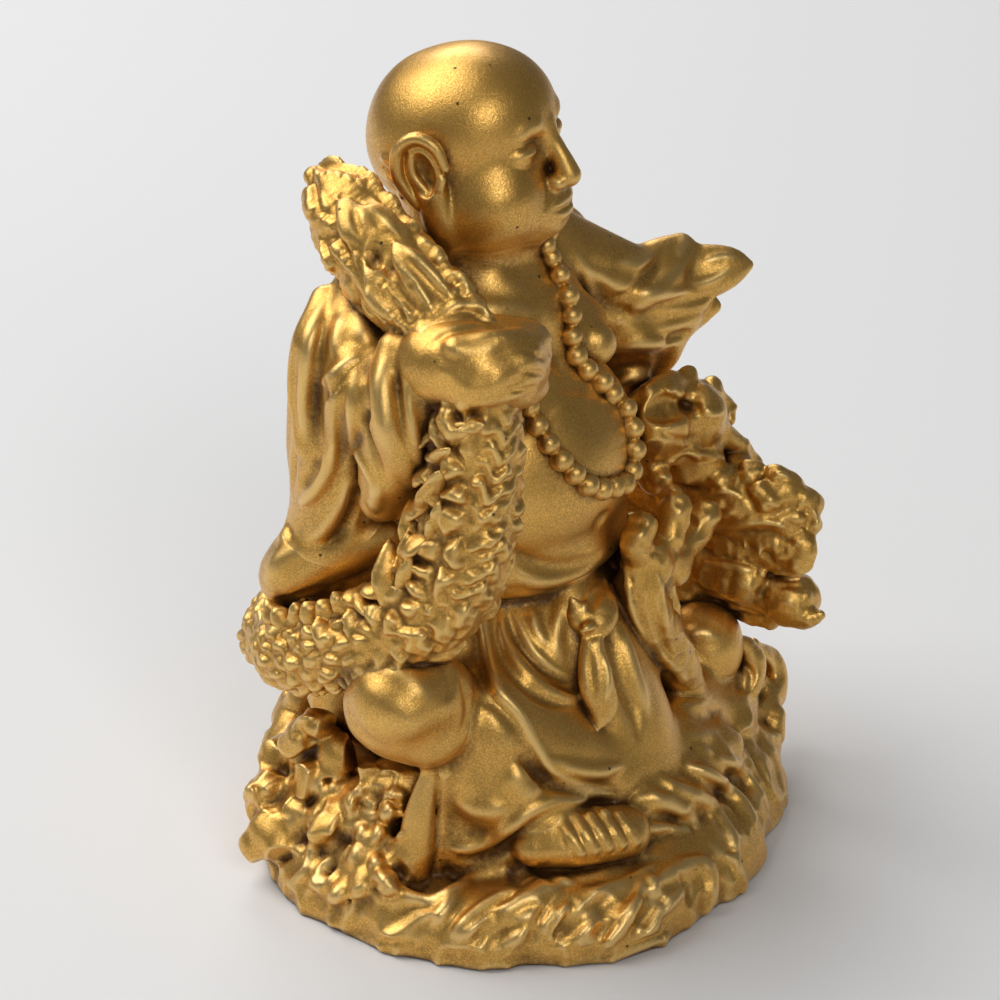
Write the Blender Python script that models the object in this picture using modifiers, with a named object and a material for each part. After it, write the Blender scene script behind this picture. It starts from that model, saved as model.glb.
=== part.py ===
"""Small gold-painted resin figurine: a seated, laughing-monk type figure with a dragon wound round it,
on a round mound of rock and cloud.  Each separately sculpted casting is one named object.

Frame: metres, +Z up, origin at the middle of the flat underside, the figure faces -Y, its right hand is at -X.
All tables below are in millimetres and are scaled by MM when the meshes are made.
"""
import math

import bmesh
import bpy
from mathutils import Matrix, Vector
from mathutils.bvhtree import BVHTree

MM = 0.001
GLUE_GAP = 0.42          # clearance cut round a neighbouring casting
BEAD_GAP = 0.35          # clearance of a bead from the chest
BASE_TOP = 6.2           # height of the mound's shoulder
BEAD_RADIUS = 0.85
BEAD_PITCH = 1.72

# ------------------------------------------------------------------ scene
for old in list(bpy.data.objects):
    bpy.data.objects.remove(old, do_unlink=True)

figure = bpy.data.collections.new("dragon_monk_figurine")
cutters = bpy.data.collections.new("cutters")
bpy.context.scene.collection.children.link(figure)
bpy.context.scene.collection.children.link(cutters)
cutters.hide_render = True


def material(name, colour, roughness, metallic):
    mat = bpy.data.materials.new(name)
    mat.use_nodes = True
    shader = mat.node_tree.nodes["Principled BSDF"]
    shader.inputs["Base Color"].default_value = (*colour, 1.0)
    shader.inputs["Roughness"].default_value = roughness
    shader.inputs["Metallic"].default_value = metallic
    mat.diffuse_color = (*colour, 1.0)
    return mat


SKIN = material("gold_paint_skin", (0.62, 0.42, 0.13), 0.36, 1.0)
CLOTH = material("gold_paint_robe", (0.58, 0.39, 0.12), 0.38, 1.0)
SCALE = material("gold_paint_dragon", (0.55, 0.36, 0.11), 0.34, 1.0)
ROCK = material("gold_paint_base", (0.54, 0.36, 0.12), 0.40, 1.0)

# ------------------------------------------------------------------ modelling helpers


def add_ball(bm, centre, radii, turn=(0, 0, 0), seg=20):
    """An ellipsoid: a UV sphere primitive, scaled, turned (degrees XYZ) and placed."""
    rot = Matrix.Rotation(math.radians(turn[2]), 4, "Z") @ Matrix.Rotation(math.radians(turn[1]), 4, "Y") @ Matrix.Rotation(math.radians(turn[0]), 4, "X")
    place = Matrix.Translation(Vector(centre) * MM) @ rot @ Matrix.Diagonal((*[r * MM for r in radii], 1.0))
    bmesh.ops.create_uvsphere(bm, u_segments=seg, v_segments=seg // 2 + 2, radius=1.0, matrix=place)


def smooth_path(points, radii, steps=4):
    """A Catmull-Rom line through the points, with its radii."""
    pts = [Vector(p) for p in points]
    out, rad = [], []
    for i in range(len(pts) - 1):
        a, b = pts[max(i - 1, 0)], pts[i]
        c, d = pts[i + 1], pts[min(i + 2, len(pts) - 1)]
        for s in range(steps):
            t = s / steps
            out.append(0.5 * ((2 * b) + (c - a) * t + (2 * a - 5 * b + 4 * c - d) * t * t + (3 * b - a - 3 * c + d) * t ** 3))
            rad.append(radii[i] * (1 - t) + radii[i + 1] * t)
    out.append(pts[-1])
    rad.append(radii[-1])
    return out, rad


def curve_tube(points, radii, resolution=3):
    """A tapered round limb: a POLY curve with a bevel and filled caps, taken as a mesh with its caps welded."""
    data = bpy.data.curves.new("limb", "CURVE")
    data.dimensions = "3D"
    data.bevel_depth = MM
    data.bevel_resolution = resolution
    data.use_fill_caps = True
    spline = data.splines.new("POLY")
    spline.points.add(len(points) - 1)
    for slot, p, r in zip(spline.points, points, radii):
        slot.co = (*(Vector(p) * MM), 1.0)
        slot.radius = r
    obj = bpy.data.objects.new("limb", data)
    bpy.context.scene.collection.objects.link(obj)
    bpy.context.view_layer.update()
    mesh = bpy.data.meshes.new_from_object(obj.evaluated_get(bpy.context.evaluated_depsgraph_get()))
    bpy.data.objects.remove(obj, do_unlink=True)
    bm = bmesh.new()
    bm.from_mesh(mesh)
    bmesh.ops.remove_doubles(bm, verts=bm.verts, dist=1e-6)
    bmesh.ops.recalc_face_normals(bm, faces=bm.faces)
    bm.to_mesh(mesh)
    bm.free()
    return mesh


def add_limb(bm, points, radii, round_ends=True, steps=4):
    line, rad = smooth_path(points, radii, steps)
    mesh = curve_tube(line, rad)
    bm.from_mesh(mesh)
    bpy.data.meshes.remove(mesh)
    if round_ends:
        for p, r in ((points[0], radii[0]), (points[-1], radii[-1])):
            add_ball(bm, p, (r, r, r), seg=14)


def add_spike(bm, foot, tip, radius, thickness=None):
    """A cone primitive from foot to tip; thickness flattens it across."""
    foot, tip = Vector(foot) * MM, Vector(tip) * MM
    axis = tip - foot
    turn = axis.to_track_quat("Z", "Y").to_matrix().to_4x4()
    place = Matrix.Translation((foot + tip) / 2) @ turn @ Matrix.Diagonal((1.0, (thickness or radius) / radius, 1.0, 1.0))
    bmesh.ops.create_cone(bm, cap_ends=True, segments=10, radius1=radius * MM, radius2=0.08 * MM, depth=axis.length, matrix=place)


def evaluated_mesh(obj):
    bpy.context.view_layer.update()
    return bpy.data.meshes.new_from_object(obj.evaluated_get(bpy.context.evaluated_depsgraph_get()))


def keep_main_body(mesh):
    """Leaves only the largest closed body, without the crumbs that a cut can shave off."""
    bm = bmesh.new()
    bm.from_mesh(mesh)
    bmesh.ops.remove_doubles(bm, verts=bm.verts, dist=2e-6)
    bm.faces.ensure_lookup_table()
    seen, groups = set(), []
    for face in bm.faces:
        if face.index in seen:
            continue
        stack, group = [face], []
        seen.add(face.index)
        while stack:
            f = stack.pop()
            group.append(f)
            for e in f.edges:
                for g in e.link_faces:
                    if g.index not in seen:
                        seen.add(g.index)
                        stack.append(g)
        groups.append(group)

    def size(group):
        return abs(sum(f.calc_center_median().dot(f.normal) * f.calc_area() for f in group))

    groups.sort(key=size)
    crumbs = [f for g in groups[:-1] for f in g]
    if crumbs:
        bmesh.ops.delete(bm, geom=crumbs, context="FACES")
    loose = [v for v in bm.verts if not v.link_faces]
    if loose:
        bmesh.ops.delete(bm, geom=loose, context="VERTS")
    bmesh.ops.recalc_face_normals(bm, faces=bm.faces)
    bm.to_mesh(mesh)
    bm.free()


def place(name, mesh, mat):
    mesh.name = name
    mesh.materials.clear()
    mesh.materials.append(mat)
    obj = bpy.data.objects.new(name, mesh)
    figure.objects.link(obj)
    mesh.shade_smooth()
    return obj


def clay(name, build, mat, voxel, triangles):
    """Primitives joined into one skin by a voxel remesh, then thinned to about this many triangles."""
    bm = bmesh.new()
    build(bm)
    mesh = bpy.data.meshes.new(name)
    bm.to_mesh(mesh)
    bm.free()
    obj = place(name, mesh, mat)
    remesh = obj.modifiers.new("skin", "REMESH")
    remesh.mode = "VOXEL"
    remesh.voxel_size = voxel * MM
    soften = obj.modifiers.new("soften", "SMOOTH")
    soften.iterations = 3
    soften.factor = 0.5
    first = evaluated_mesh(obj)
    count = sum(len(p.vertices) - 2 for p in first.polygons)
    bpy.data.meshes.remove(first)
    thin = obj.modifiers.new("thin", "DECIMATE")
    thin.ratio = min(1.0, triangles / max(count, 1))
    mesh = evaluated_mesh(obj)
    obj.modifiers.clear()
    old = obj.data
    obj.data = mesh
    bpy.data.meshes.remove(old)
    mesh.name = name
    keep_main_body(mesh)
    mesh.shade_smooth()
    return obj


def cutter_of(obj, gap=GLUE_GAP):
    """The object's skin moved out along its normals by the gap, as a hidden cutting tool."""
    mesh = obj.data.copy()
    bm = bmesh.new()
    bm.from_mesh(mesh)
    bm.normal_update()
    moves = [(v, v.normal.copy()) for v in bm.verts]
    for v, n in moves:
        v.co += n * gap * MM
    bm.to_mesh(mesh)
    bm.free()
    tool = bpy.data.objects.new("cut_" + obj.name, mesh)
    cutters.objects.link(tool)
    tool.hide_render = True
    tool.display_type = "WIRE"
    return tool


def fit(obj, *neighbours):
    """Cuts each neighbour's grown skin away from this object, which leaves the glue gap."""
    for tool in neighbours:
        cut = obj.modifiers.new("clear_" + tool.name, "BOOLEAN")
        cut.operation = "DIFFERENCE"
        cut.solver = "EXACT"
        cut.object = tool
    mesh = evaluated_mesh(obj)
    obj.modifiers.clear()
    old = obj.data
    obj.data = mesh
    bpy.data.meshes.remove(old)
    keep_main_body(mesh)
    mesh.name = obj.name
    mesh.shade_smooth()


# ------------------------------------------------------------------ base
# The plan outline of the mound, as (x, y) at its widest level.
OUTLINE = [(-15.6, 11.8), (-19.4, 5.8), (-21.0, -0.5), (-20.4, -6.4), (-17.8, -11.8), (-14.2, -16.3), (-9.8, -19.6), (-4.2, -20.6),
           (2.2, -19.9), (9.0, -18.0), (14.8, -15.0), (19.2, -10.8), (21.2, -4.8), (21.0, 1.8), (18.6, 8.2), (13.6, 13.0), (6.4, 16.0),
           (-2.0, 16.6), (-9.8, 15.4)]
CENTRE = Vector((0.0, -1.5))


def reach(angle):
    """How far the outline is from the centre in this direction."""
    d = Vector((math.cos(angle), math.sin(angle)))
    best = 0.0
    n = len(OUTLINE)
    for i in range(n):
        a, b = Vector(OUTLINE[i]) - CENTRE, Vector(OUTLINE[(i + 1) % n]) - CENTRE
        e = b - a
        det = d.x * -e.y + d.y * e.x
        if abs(det) < 1e-9:
            continue
        t = (a.x * -e.y + a.y * e.x) / det
        s = (d.x * a.y - d.y * a.x) / det
        if t > 0 and 0 <= s <= 1:
            best = max(best, t)
    return best


def build_base():
    """A turned mound (profile spun round Z), then drawn out to the outline."""
    profile = [(0.0, 0.0), (0.985, 0.0), (1.0, 0.7), (0.995, 2.2), (0.955, 3.9), (0.87, 5.3), (0.76, BASE_TOP), (0.5, BASE_TOP + 0.9), (0.0, BASE_TOP + 1.2)]
    steps = 40
    bm = bmesh.new()
    line = [bm.verts.new((r * MM, 0.0, z * MM)) for r, z in profile]
    edges = [bm.edges.new((a, b)) for a, b in zip(line, line[1:])]
    bmesh.ops.spin(bm, geom=line + edges, cent=(0, 0, 0), axis=(0, 0, 1), dvec=(0, 0, 0), angle=2 * math.pi, steps=steps, use_duplicate=False)
    bmesh.ops.remove_doubles(bm, verts=bm.verts, dist=1e-6)
    for v in bm.verts:
        r = v.co.xy.length / MM
        if r > 1e-4:
            a = math.atan2(v.co.y, v.co.x)
            far = reach(a)
            v.co.x = math.cos(a) * r * far * MM + CENTRE.x * MM * r
            v.co.y = (math.sin(a) * r * far + CENTRE.y) * MM
        else:
            v.co.y = CENTRE.y * MM
    bmesh.ops.recalc_face_normals(bm, faces=bm.faces)
    bmesh.ops.dissolve_limit(bm, angle_limit=math.radians(0.4), verts=bm.verts, edges=bm.edges)
    bmesh.ops.triangulate(bm, faces=bm.faces)
    mesh = bpy.data.meshes.new("base_rock")
    bm.to_mesh(mesh)
    bm.free()
    return place("base_rock", mesh, ROCK)


base_rock = build_base()


def build_cloud_right(bm):
    add_limb(bm, [(-14.0, 8.5, 7.0), (-15.4, 7.2, 10.2), (-14.6, 5.0, 12.0)], [2.2, 2.1, 1.7])
    add_ball(bm, (-17.0, 8.6, 6.9), (2.1, 2.2, 2.2))
    add_ball(bm, (-18.2, 8.2, 4.4), (2.0, 2.4, 2.3))
    add_ball(bm, (-15.5, 5.2, 8.6), (2.3, 2.2, 2.8))
    add_ball(bm, (-14.6, 10.6, 8.8), (2.2, 2.0, 2.2))
    add_limb(bm, [(-17.8, 7.0, 5.2), (-15.0, 7.4, 7.2), (-13.2, 6.6, 8.6)], [2.2, 2.6, 2.4])


def build_cloud_left(bm):
    add_limb(bm, [(14.5, -9.6, 6.2), (17.4, -9.4, 6.6), (19.4, -8.0, 8.6), (18.6, -6.4, 10.6), (16.4, -5.6, 10.4)], [1.9, 2.0, 1.7, 1.4, 1.1])
    add_limb(bm, [(18.6, -6.6, 4.6), (19.2, -7.6, 6.4), (18.8, -8.0, 8.4)], [2.0, 1.9, 1.5])
    add_ball(bm, (14.4, -10.2, 7.6), (2.2, 1.9, 1.7))
    add_limb(bm, [(12.0, -9.0, 6.6), (15.5, -7.5, 6.6), (18.4, -5.0, 6.0)], [1.9, 2.1, 2.2])


def build_cloud_back(bm):
    add_limb(bm, [(-9.0, 14.4, 5.0), (-4.0, 16.0, 6.6), (2.0, 15.8, 7.2), (8.0, 14.0, 5.6)], [2.2, 2.5, 2.5, 2.2])
    add_ball(bm, (-6.4, 15.6, 7.6), (2.3, 1.8, 2.0))
    add_ball(bm, (4.6, 15.4, 8.2), (2.3, 1.8, 2.0))


# ------------------------------------------------------------------ figure


def build_head(bm):
    turn = (-8, 0, 18)
    add_ball(bm, (0.2, 4.6, 55.2), (6.5, 7.2, 6.7), turn, 28)
    add_ball(bm, (0.9, 1.9, 51.6), (5.5, 5.0, 4.9), turn, 24)
    add_ball(bm, (1.0, 1.8, 50.0), (5.9, 4.7, 3.5), turn, 20)
    add_limb(bm, [(3.1, -4.9, 53.4), (3.3, -5.9, 52.0)], [0.6, 0.95])
    for side in (-1, 1):
        x, y = side * 6.7, 3.8
        a = math.radians(18)
        px, py = 0.4 + x * math.cos(a) - (y - 4) * math.sin(a), 4.2 + x * math.sin(a) + (y - 4) * math.cos(a)
        add_limb(bm, [(px, py + 0.2, 55.6), (px * 1.02, py + 0.6, 53.4), (px * 0.98, py - 0.2, 50.8), (px * 0.94, py - 0.8, 48.6)], [1.0, 1.3, 1.0, 1.15])


def build_torso(bm):
    add_ball(bm, (0.0, 1.4, 31.0), (10.4, 10.0, 9.6), seg=28)
    add_ball(bm, (0.0, 2.4, 25.4), (9.9, 9.4, 5.8), seg=24)
    add_ball(bm, (0.0, 3.6, 40.2), (9.2, 7.6, 7.6), seg=24)
    add_ball(bm, (-4.2, -1.4, 40.2), (3.9, 2.9, 3.0))
    add_ball(bm, (4.2, -1.4, 40.2), (3.9, 2.9, 3.0))
    add_limb(bm, [(-9.6, 4.2, 43.2), (0, 4.4, 45.8), (9.6, 4.2, 43.2)], [3.2, 4.2, 3.2])
    add_limb(bm, [(0.0, 3.8, 43.5), (0.4, 3.4, 48.6)], [4.9, 4.4])


def build_right_hand(bm):
    add_ball(bm, (-11.2, -6.4, 44.2), (3.6, 4.2, 3.2), (0, 0, -50), 24)
    add_ball(bm, (-9.0, -7.6, 43.6), (2.4, 2.4, 2.6))
    add_ball(bm, (-12.6, -4.0, 44.4), (2.8, 3.2, 2.9))


def build_left_hand(bm):
    add_limb(bm, [(15.6, -3.4, 39.8), (18.4, -5.0, 40.0), (20.6, -6.2, 40.6)], [1.7, 1.6, 0.9])
    add_limb(bm, [(16.0, -3.0, 39.4), (18.4, -3.6, 38.4), (19.6, -4.8, 37.6)], [1.6, 1.3, 0.9])


def build_left_sleeve(bm):
    add_limb(bm, [(8.0, 3.0, 43.6), (11.0, 0.6, 41.8), (14.6, -1.6, 39.0)], [2.9, 2.6, 2.6])
    add_limb(bm, [(13.0, -0.8, 38.8), (16.4, -3.2, 37.2), (18.6, -5.0, 36.2)], [2.5, 2.3, 1.6])
    add_limb(bm, [(13.0, -0.6, 39.6), (16.8, -1.6, 39.6), (19.2, -0.6, 41.2)], [2.2, 1.9, 1.3])
    add_limb(bm, [(11.6, 0.8, 40.0), (12.6, -0.2, 36.2), (12.2, 0.2, 32.0)], [2.8, 2.3, 2.0])
    add_limb(bm, [(14.2, -1.4, 38.6), (15.6, -2.2, 35.4), (14.4, -1.8, 33.2)], [2.1, 1.6, 1.2])
    add_ball(bm, (11.2, 3.0, 38.6), (2.6, 3.4, 4.6))


def build_right_sleeve(bm):
    add_limb(bm, [(-8.6, 5.6, 45.2), (-11.6, 4.2, 42.0), (-13.6, -0.4, 40.2)], [3.4, 3.9, 3.3])
    add_limb(bm, [(-13.4, -2.2, 43.2), (-14.0, -1.6, 38.6), (-13.8, 0.2, 33.4)], [2.5, 2.5, 1.8])
    add_limb(bm, [(-11.8, 4.6, 41.0), (-12.6, 6.2, 34.8), (-11.8, 7.6, 28.0)], [3.7, 3.8, 3.4])
    add_limb(bm, [(-11.4, 8.2, 36.4), (-11.5, 8.8, 28.4)], [2.5, 2.5])


def build_robe_back(bm):
    add_ball(bm, (0.0, 7.4, 40.0), (10.6, 5.2, 7.6), seg=24)
    add_ball(bm, (-0.8, 7.8, 31.0), (11.4, 6.2, 10.4), seg=24)
    add_ball(bm, (-1.2, 7.8, 23.6), (11.6, 6.6, 6.6), seg=24)
    add_limb(bm, [(-9.2, 8.0, 28.0), (-11.4, 10.2, 24.4), (-13.8, 11.4, 21.2)], [3.8, 3.0, 1.8])


def build_skirt(bm):
    add_ball(bm, (0.0, 0.6, 16.2), (12.2, 11.0, 8.2), seg=28)
    add_limb(bm, [(-5.0, 3.0, 17.0), (-11.0, -0.6, 17.0), (-14.8, -2.6, 16.6)], [5.0, 4.4, 4.0])
    add_limb(bm, [(-14.6, -3.2, 15.2), (-11.6, -7.6, 11.2), (-9.2, -11.6, 8.6)], [3.8, 3.4, 2.6])
    add_limb(bm, [(5.0, 2.0, 15.0), (10.6, -2.4, 12.0), (14.2, -5.2, 9.8)], [5.4, 4.4, 3.6])
    add_limb(bm, [(12.8, -6.6, 9.0), (7.0, -10.4, 9.2), (1.6, -12.4, 9.0)], [3.4, 3.0, 2.5])
    add_limb(bm, [(-9.4, -5.4, 14.4), (-3.4, -8.8, 11.4), (3.2, -9.6, 10.0)], [5.0, 4.4, 3.8])
    add_limb(bm, [(-15.2, -4.8, 12.6), (-15.2, -5.2, 8.6)], [2.0, 1.7])
    add_ball(bm, (0.0, 6.4, 12.4), (12.6, 8.0, 5.2), seg=24)


def build_right_knee(bm):
    add_ball(bm, (-15.6, -3.6, 17.8), (4.1, 4.3, 4.2), (0, 0, -40), 24)
    add_ball(bm, (-13.2, -4.4, 16.6), (3.4, 3.8, 3.7))


def build_left_knee(bm):
    add_ball(bm, (14.6, -6.6, 11.0), (3.1, 3.3, 3.9), seg=22)


def build_right_foot(bm):
    add_limb(bm, [(-10.4, -11.6, 7.0), (-8.2, -13.8, 6.6), (-5.0, -15.4, 6.4)], [1.9, 2.0, 1.7])


# ------------------------------------------------------------------ dragon
FRONT_PATH = [(-11.5, -6.6, 41.8), (-12.4, -6.9, 34.6), (-13.5, -5.9, 28.0), (-15.3, -2.9, 23.8), (-16.2, 2.6, 20.8), (-15.4, 8.6, 17.8), (-12.0, 13.0, 16.0)]
FRONT_RADII = [3.3, 3.5, 3.7, 3.5, 3.3, 3.3, 3.0]
REAR_PATH = [(-10.6, 14.0, 15.8), (-3.0, 16.2, 15.6), (5.0, 15.8, 16.2), (12.0, 12.2, 17.8), (16.6, 5.4, 20.2), (17.4, -0.8, 22.4)]
REAR_RADII = [2.9, 3.2, 3.2, 3.2, 3.2, 3.1]


def build_body_front(bm):
    add_limb(bm, FRONT_PATH, FRONT_RADII)


def build_body_rear(bm):
    add_limb(bm, REAR_PATH, REAR_RADII)


def fin_row(bm, path, radii, lift, count, height, side):
    """A ridge with fins: a thin strip raised off the body on one side, and flattened cones along it."""
    line, rad = smooth_path(path, radii, 6)
    ridge, tips = [], []
    for i, (p, r) in enumerate(zip(line, rad)):
        ahead = (line[min(i + 1, len(line) - 1)] - line[max(i - 1, 0)]).normalized()
        out = Vector(side(i / (len(line) - 1)))
        out = (out - ahead * out.dot(ahead)).normalized()
        ridge.append(p + out * (r + lift))
        tips.append((out, ahead))
    mesh = curve_tube(ridge, [0.62] * len(ridge), 2)
    bm.from_mesh(mesh)
    bpy.data.meshes.remove(mesh)
    for k in range(count):
        i = round((k + 0.5) / count * (len(ridge) - 1))
        out, ahead = tips[i]
        foot = ridge[i] - out * 0.4
        add_spike(bm, foot, foot + out * height - ahead * 0.5, 1.0, 0.62)


def build_fins_front(bm):
    fin_row(bm, FRONT_PATH[:6], FRONT_RADII[:6], 0.75, 12, 2.3, lambda t: (-0.75 - 0.1 * t, 0.75 - 0.2 * t, 0.2 + 0.9 * t))


def build_fins_rear(bm):
    fin_row(bm, REAR_PATH, REAR_RADII, 0.75, 11, 2.2, lambda t: (0.3 * t, 0.6 - 0.5 * t, 0.8 + 0.2 * t))


def build_tail(bm):
    add_limb(bm, [(-11.2, -5.6, 47.0), (-11.4, -2.2, 49.0), (-10.6, 1.8, 50.0), (-10.0, 5.6, 50.6), (-9.0, 8.6, 51.6)], [2.6, 3.2, 3.5, 3.4, 2.5])
    add_limb(bm, [(-9.2, 7.6, 52.2), (-9.0, 9.4, 53.6), (-8.6, 10.8, 53.4)], [1.9, 1.5, 1.1])
    add_limb(bm, [(-8.0, 5.0, 53.0), (-7.2, 6.2, 54.6)], [1.5, 1.0])


def build_dragon_head(bm):
    add_limb(bm, [(16.8, -1.6, 22.8), (17.0, -5.2, 23.2), (17.4, -9.4, 23.4), (17.8, -12.6, 22.9)], [3.0, 3.3, 2.9, 2.4])
    add_ball(bm, (17.9, -13.4, 23.4), (2.1, 1.9, 1.8))
    add_ball(bm, (17.4, -8.8, 25.2), (1.6, 1.7, 1.3))
    add_ball(bm, (19.8, -8.6, 25.2), (1.6, 1.7, 1.3))
    add_limb(bm, [(18.4, -11.0, 24.6), (19.0, -13.2, 24.8)], [1.2, 1.1])


def build_dragon_jaw(bm):
    add_limb(bm, [(16.6, -4.2, 17.0), (16.8, -8.6, 17.0), (17.0, -12.2, 17.0), (17.2, -13.8, 17.2)], [2.7, 2.4, 2.3, 1.8])
    add_limb(bm, [(17.1, -11.0, 15.2), (17.5, -14.2, 14.9)], [1.5, 0.9])
    add_limb(bm, [(16.7, -3.2, 19.4), (16.7, -4.0, 17.0)], [2.7, 2.5])


def build_mane(bm):
    add_ball(bm, (11.4, -5.6, 31.2), (3.3, 2.3, 2.6), (0, 12, 30))
    add_limb(bm, [(12.6, -5.0, 30.6), (13.8, -6.2, 33.0)], [1.8, 1.3])
    add_limb(bm, [(13.6, -5.6, 29.6), (15.4, -8.0, 30.8), (15.0, -8.4, 32.2)], [2.0, 1.5, 1.2])
    add_limb(bm, [(10.6, -5.4, 30.0), (13.0, -6.6, 27.4), (15.8, -6.6, 26.2)], [2.0, 2.2, 2.0])


def build_horns(bm):
    add_limb(bm, [(17.0, -6.8, 25.4), (16.6, -4.4, 27.6), (16.4, -1.6, 29.2)], [1.3, 1.05, 0.5])
    add_limb(bm, [(19.2, -6.4, 25.4), (19.8, -4.0, 27.4), (20.2, -1.4, 28.8)], [1.3, 1.05, 0.5])
    add_limb(bm, [(16.9, -6.6, 25.5), (19.3, -6.2, 25.5)], [1.15, 1.15])


def build_foreleg(bm):
    add_limb(bm, [(9.0, -10.0, 11.2), (6.2, -10.0, 14.6), (3.6, -9.6, 18.6), (4.4, -9.0, 22.2)], [1.3, 2.0, 2.0, 1.9])
    add_limb(bm, [(4.6, -9.0, 22.2), (7.2, -9.2, 24.0), (9.4, -9.6, 25.6)], [1.7, 1.25, 1.0])
    add_limb(bm, [(5.0, -8.8, 22.2), (7.0, -8.6, 25.0), (8.4, -8.8, 27.0)], [1.6, 1.25, 1.0])
    add_limb(bm, [(4.0, -9.2, 22.2), (3.6, -9.2, 24.4), (4.0, -9.4, 26.0)], [1.5, 1.2, 0.95])


def build_sash(bm):
    add_ball(bm, (-1.0, -9.6, 21.9), (1.6, 1.5, 1.7))
    add_limb(bm, [(-1.6, -9.9, 21.2), (-3.0, -10.6, 18.8), (-2.8, -11.2, 16.8)], [1.1, 1.5, 0.9])
    add_limb(bm, [(-1.0, -10.0, 21.0), (-1.6, -11.8, 17.0), (-2.2, -12.6, 13.6)], [0.9, 1.6, 0.8])


# ------------------------------------------------------------------ make the castings
# name, builder, material, voxel in mm, triangles
PLAN = [
    ("head", build_head, SKIN, 0.45, 560),
    ("torso", build_torso, SKIN, 0.60, 480),
    ("right_hand", build_right_hand, SKIN, 0.45, 260),
    ("left_hand", build_left_hand, SKIN, 0.40, 220),
    ("right_knee", build_right_knee, SKIN, 0.50, 220),
    ("left_knee", build_left_knee, SKIN, 0.50, 140),
    ("right_foot", build_right_foot, SKIN, 0.40, 160),
    ("dragon_body_front", build_body_front, SCALE, 0.50, 400),
    ("dragon_body_rear", build_body_rear, SCALE, 0.50, 300),
    ("dragon_tail", build_tail, SCALE, 0.45, 320),
    ("dragon_head", build_dragon_head, SCALE, 0.45, 380),
    ("dragon_lower_jaw", build_dragon_jaw, SCALE, 0.45, 280),
    ("dragon_horns", build_horns, SCALE, 0.35, 260),
    ("dragon_mane", build_mane, SCALE, 0.40, 340),
    ("dragon_foreleg", build_foreleg, SCALE, 0.40, 360),
    ("dragon_fins_front", build_fins_front, SCALE, 0.28, 460),
    ("dragon_fins_rear", build_fins_rear, SCALE, 0.28, 400),
    ("waist_sash", build_sash, CLOTH, 0.35, 240),
    ("robe_skirt", build_skirt, CLOTH, 0.60, 560),
    ("right_sleeve", build_right_sleeve, CLOTH, 0.55, 360),
    ("left_sleeve", build_left_sleeve, CLOTH, 0.50, 380),
    ("robe_back", build_robe_back, CLOTH, 0.60, 320),
    ("cloud_curls_right", build_cloud_right, ROCK, 0.45, 260),
    ("cloud_curls_left", build_cloud_left, ROCK, 0.45, 260),
    ("cloud_curls_back", build_cloud_back, ROCK, 0.45, 200),
]
made = {"base_rock": base_rock}
for name, builder, mat, voxel, triangles in PLAN:
    made[name] = clay(name, builder, mat, voxel, triangles)
tools = {name: cutter_of(obj) for name, obj in made.items()}

# Which neighbours each casting gives way to.
GIVES_WAY = {
    "torso": ("head",),
    "right_hand": (),
    "left_hand": (),
    "right_knee": (),
    "left_knee": ("base_rock",),
    "right_foot": ("base_rock",),
    "dragon_body_front": ("right_hand", "right_knee", "torso"),
    "dragon_body_rear": ("dragon_body_front", "base_rock"),
    "dragon_tail": ("right_hand", "head", "torso", "dragon_body_front"),
    "dragon_head": ("dragon_body_rear",),
    "dragon_lower_jaw": ("dragon_head", "dragon_body_rear", "left_knee"),
    "dragon_horns": ("dragon_head", "dragon_body_rear"),
    "dragon_mane": ("dragon_head", "dragon_body_rear", "dragon_horns", "torso", "dragon_lower_jaw"),
    "dragon_foreleg": ("torso", "base_rock", "left_knee", "right_foot", "dragon_mane"),
    "waist_sash": ("torso", "dragon_foreleg", "right_foot"),
    "robe_skirt": ("torso", "base_rock", "right_knee", "left_knee", "right_foot", "dragon_body_front", "dragon_body_rear", "dragon_lower_jaw",
                   "dragon_head", "dragon_mane", "dragon_foreleg", "waist_sash", "dragon_fins_front", "dragon_fins_rear"),
    "dragon_fins_front": ("dragon_body_front", "right_knee", "right_hand", "torso", "dragon_body_rear"),
    "dragon_fins_rear": ("dragon_body_rear", "dragon_head", "dragon_body_front", "dragon_fins_front", "dragon_horns", "base_rock"),
    "right_sleeve": ("right_hand", "torso", "head", "dragon_tail", "dragon_body_front", "dragon_fins_front", "right_knee"),
    "left_sleeve": ("left_hand", "torso", "head", "dragon_mane", "dragon_horns", "dragon_body_rear"),
    "robe_back": ("torso", "head", "dragon_tail", "dragon_body_front", "dragon_body_rear", "dragon_fins_front", "dragon_fins_rear", "right_sleeve", "left_sleeve",
                  "robe_skirt"),
    "cloud_curls_right": ("base_rock", "robe_skirt", "dragon_body_front", "right_knee", "robe_back", "dragon_body_rear"),
    "cloud_curls_left": ("base_rock", "left_knee", "dragon_lower_jaw", "robe_skirt", "dragon_head", "dragon_body_rear"),
    "cloud_curls_back": ("base_rock", "robe_skirt", "dragon_body_front", "dragon_body_rear", "robe_back", "cloud_curls_right", "dragon_fins_rear"),
}
for name, neighbours in GIVES_WAY.items():
    if neighbours:
        fit(made[name], *[tools[n] for n in neighbours])

# ------------------------------------------------------------------ prayer beads
# The strand hangs round the neck and rests on the chest and belly; each point is dropped onto the torso's skin.
STRAND = [(6.2, 2.2, 46.6), (4.6, -1.0, 45.6), (3.0, -3.4, 44.2), (2.2, -4.4, 42.0), (2.8, -4.6, 38.6), (4.2, -6.0, 35.6), (5.6, -8.0, 33.2), (4.6, -9.4, 31.2),
          (2.2, -9.8, 30.2), (-0.6, -9.8, 30.6), (-3.4, -9.2, 33.0), (-5.4, -7.6, 36.4), (-6.0, -5.6, 39.6), (-5.4, -4.0, 42.6), (-5.2, -1.6, 45.0), (-5.6, 1.4, 46.4)]


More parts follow.
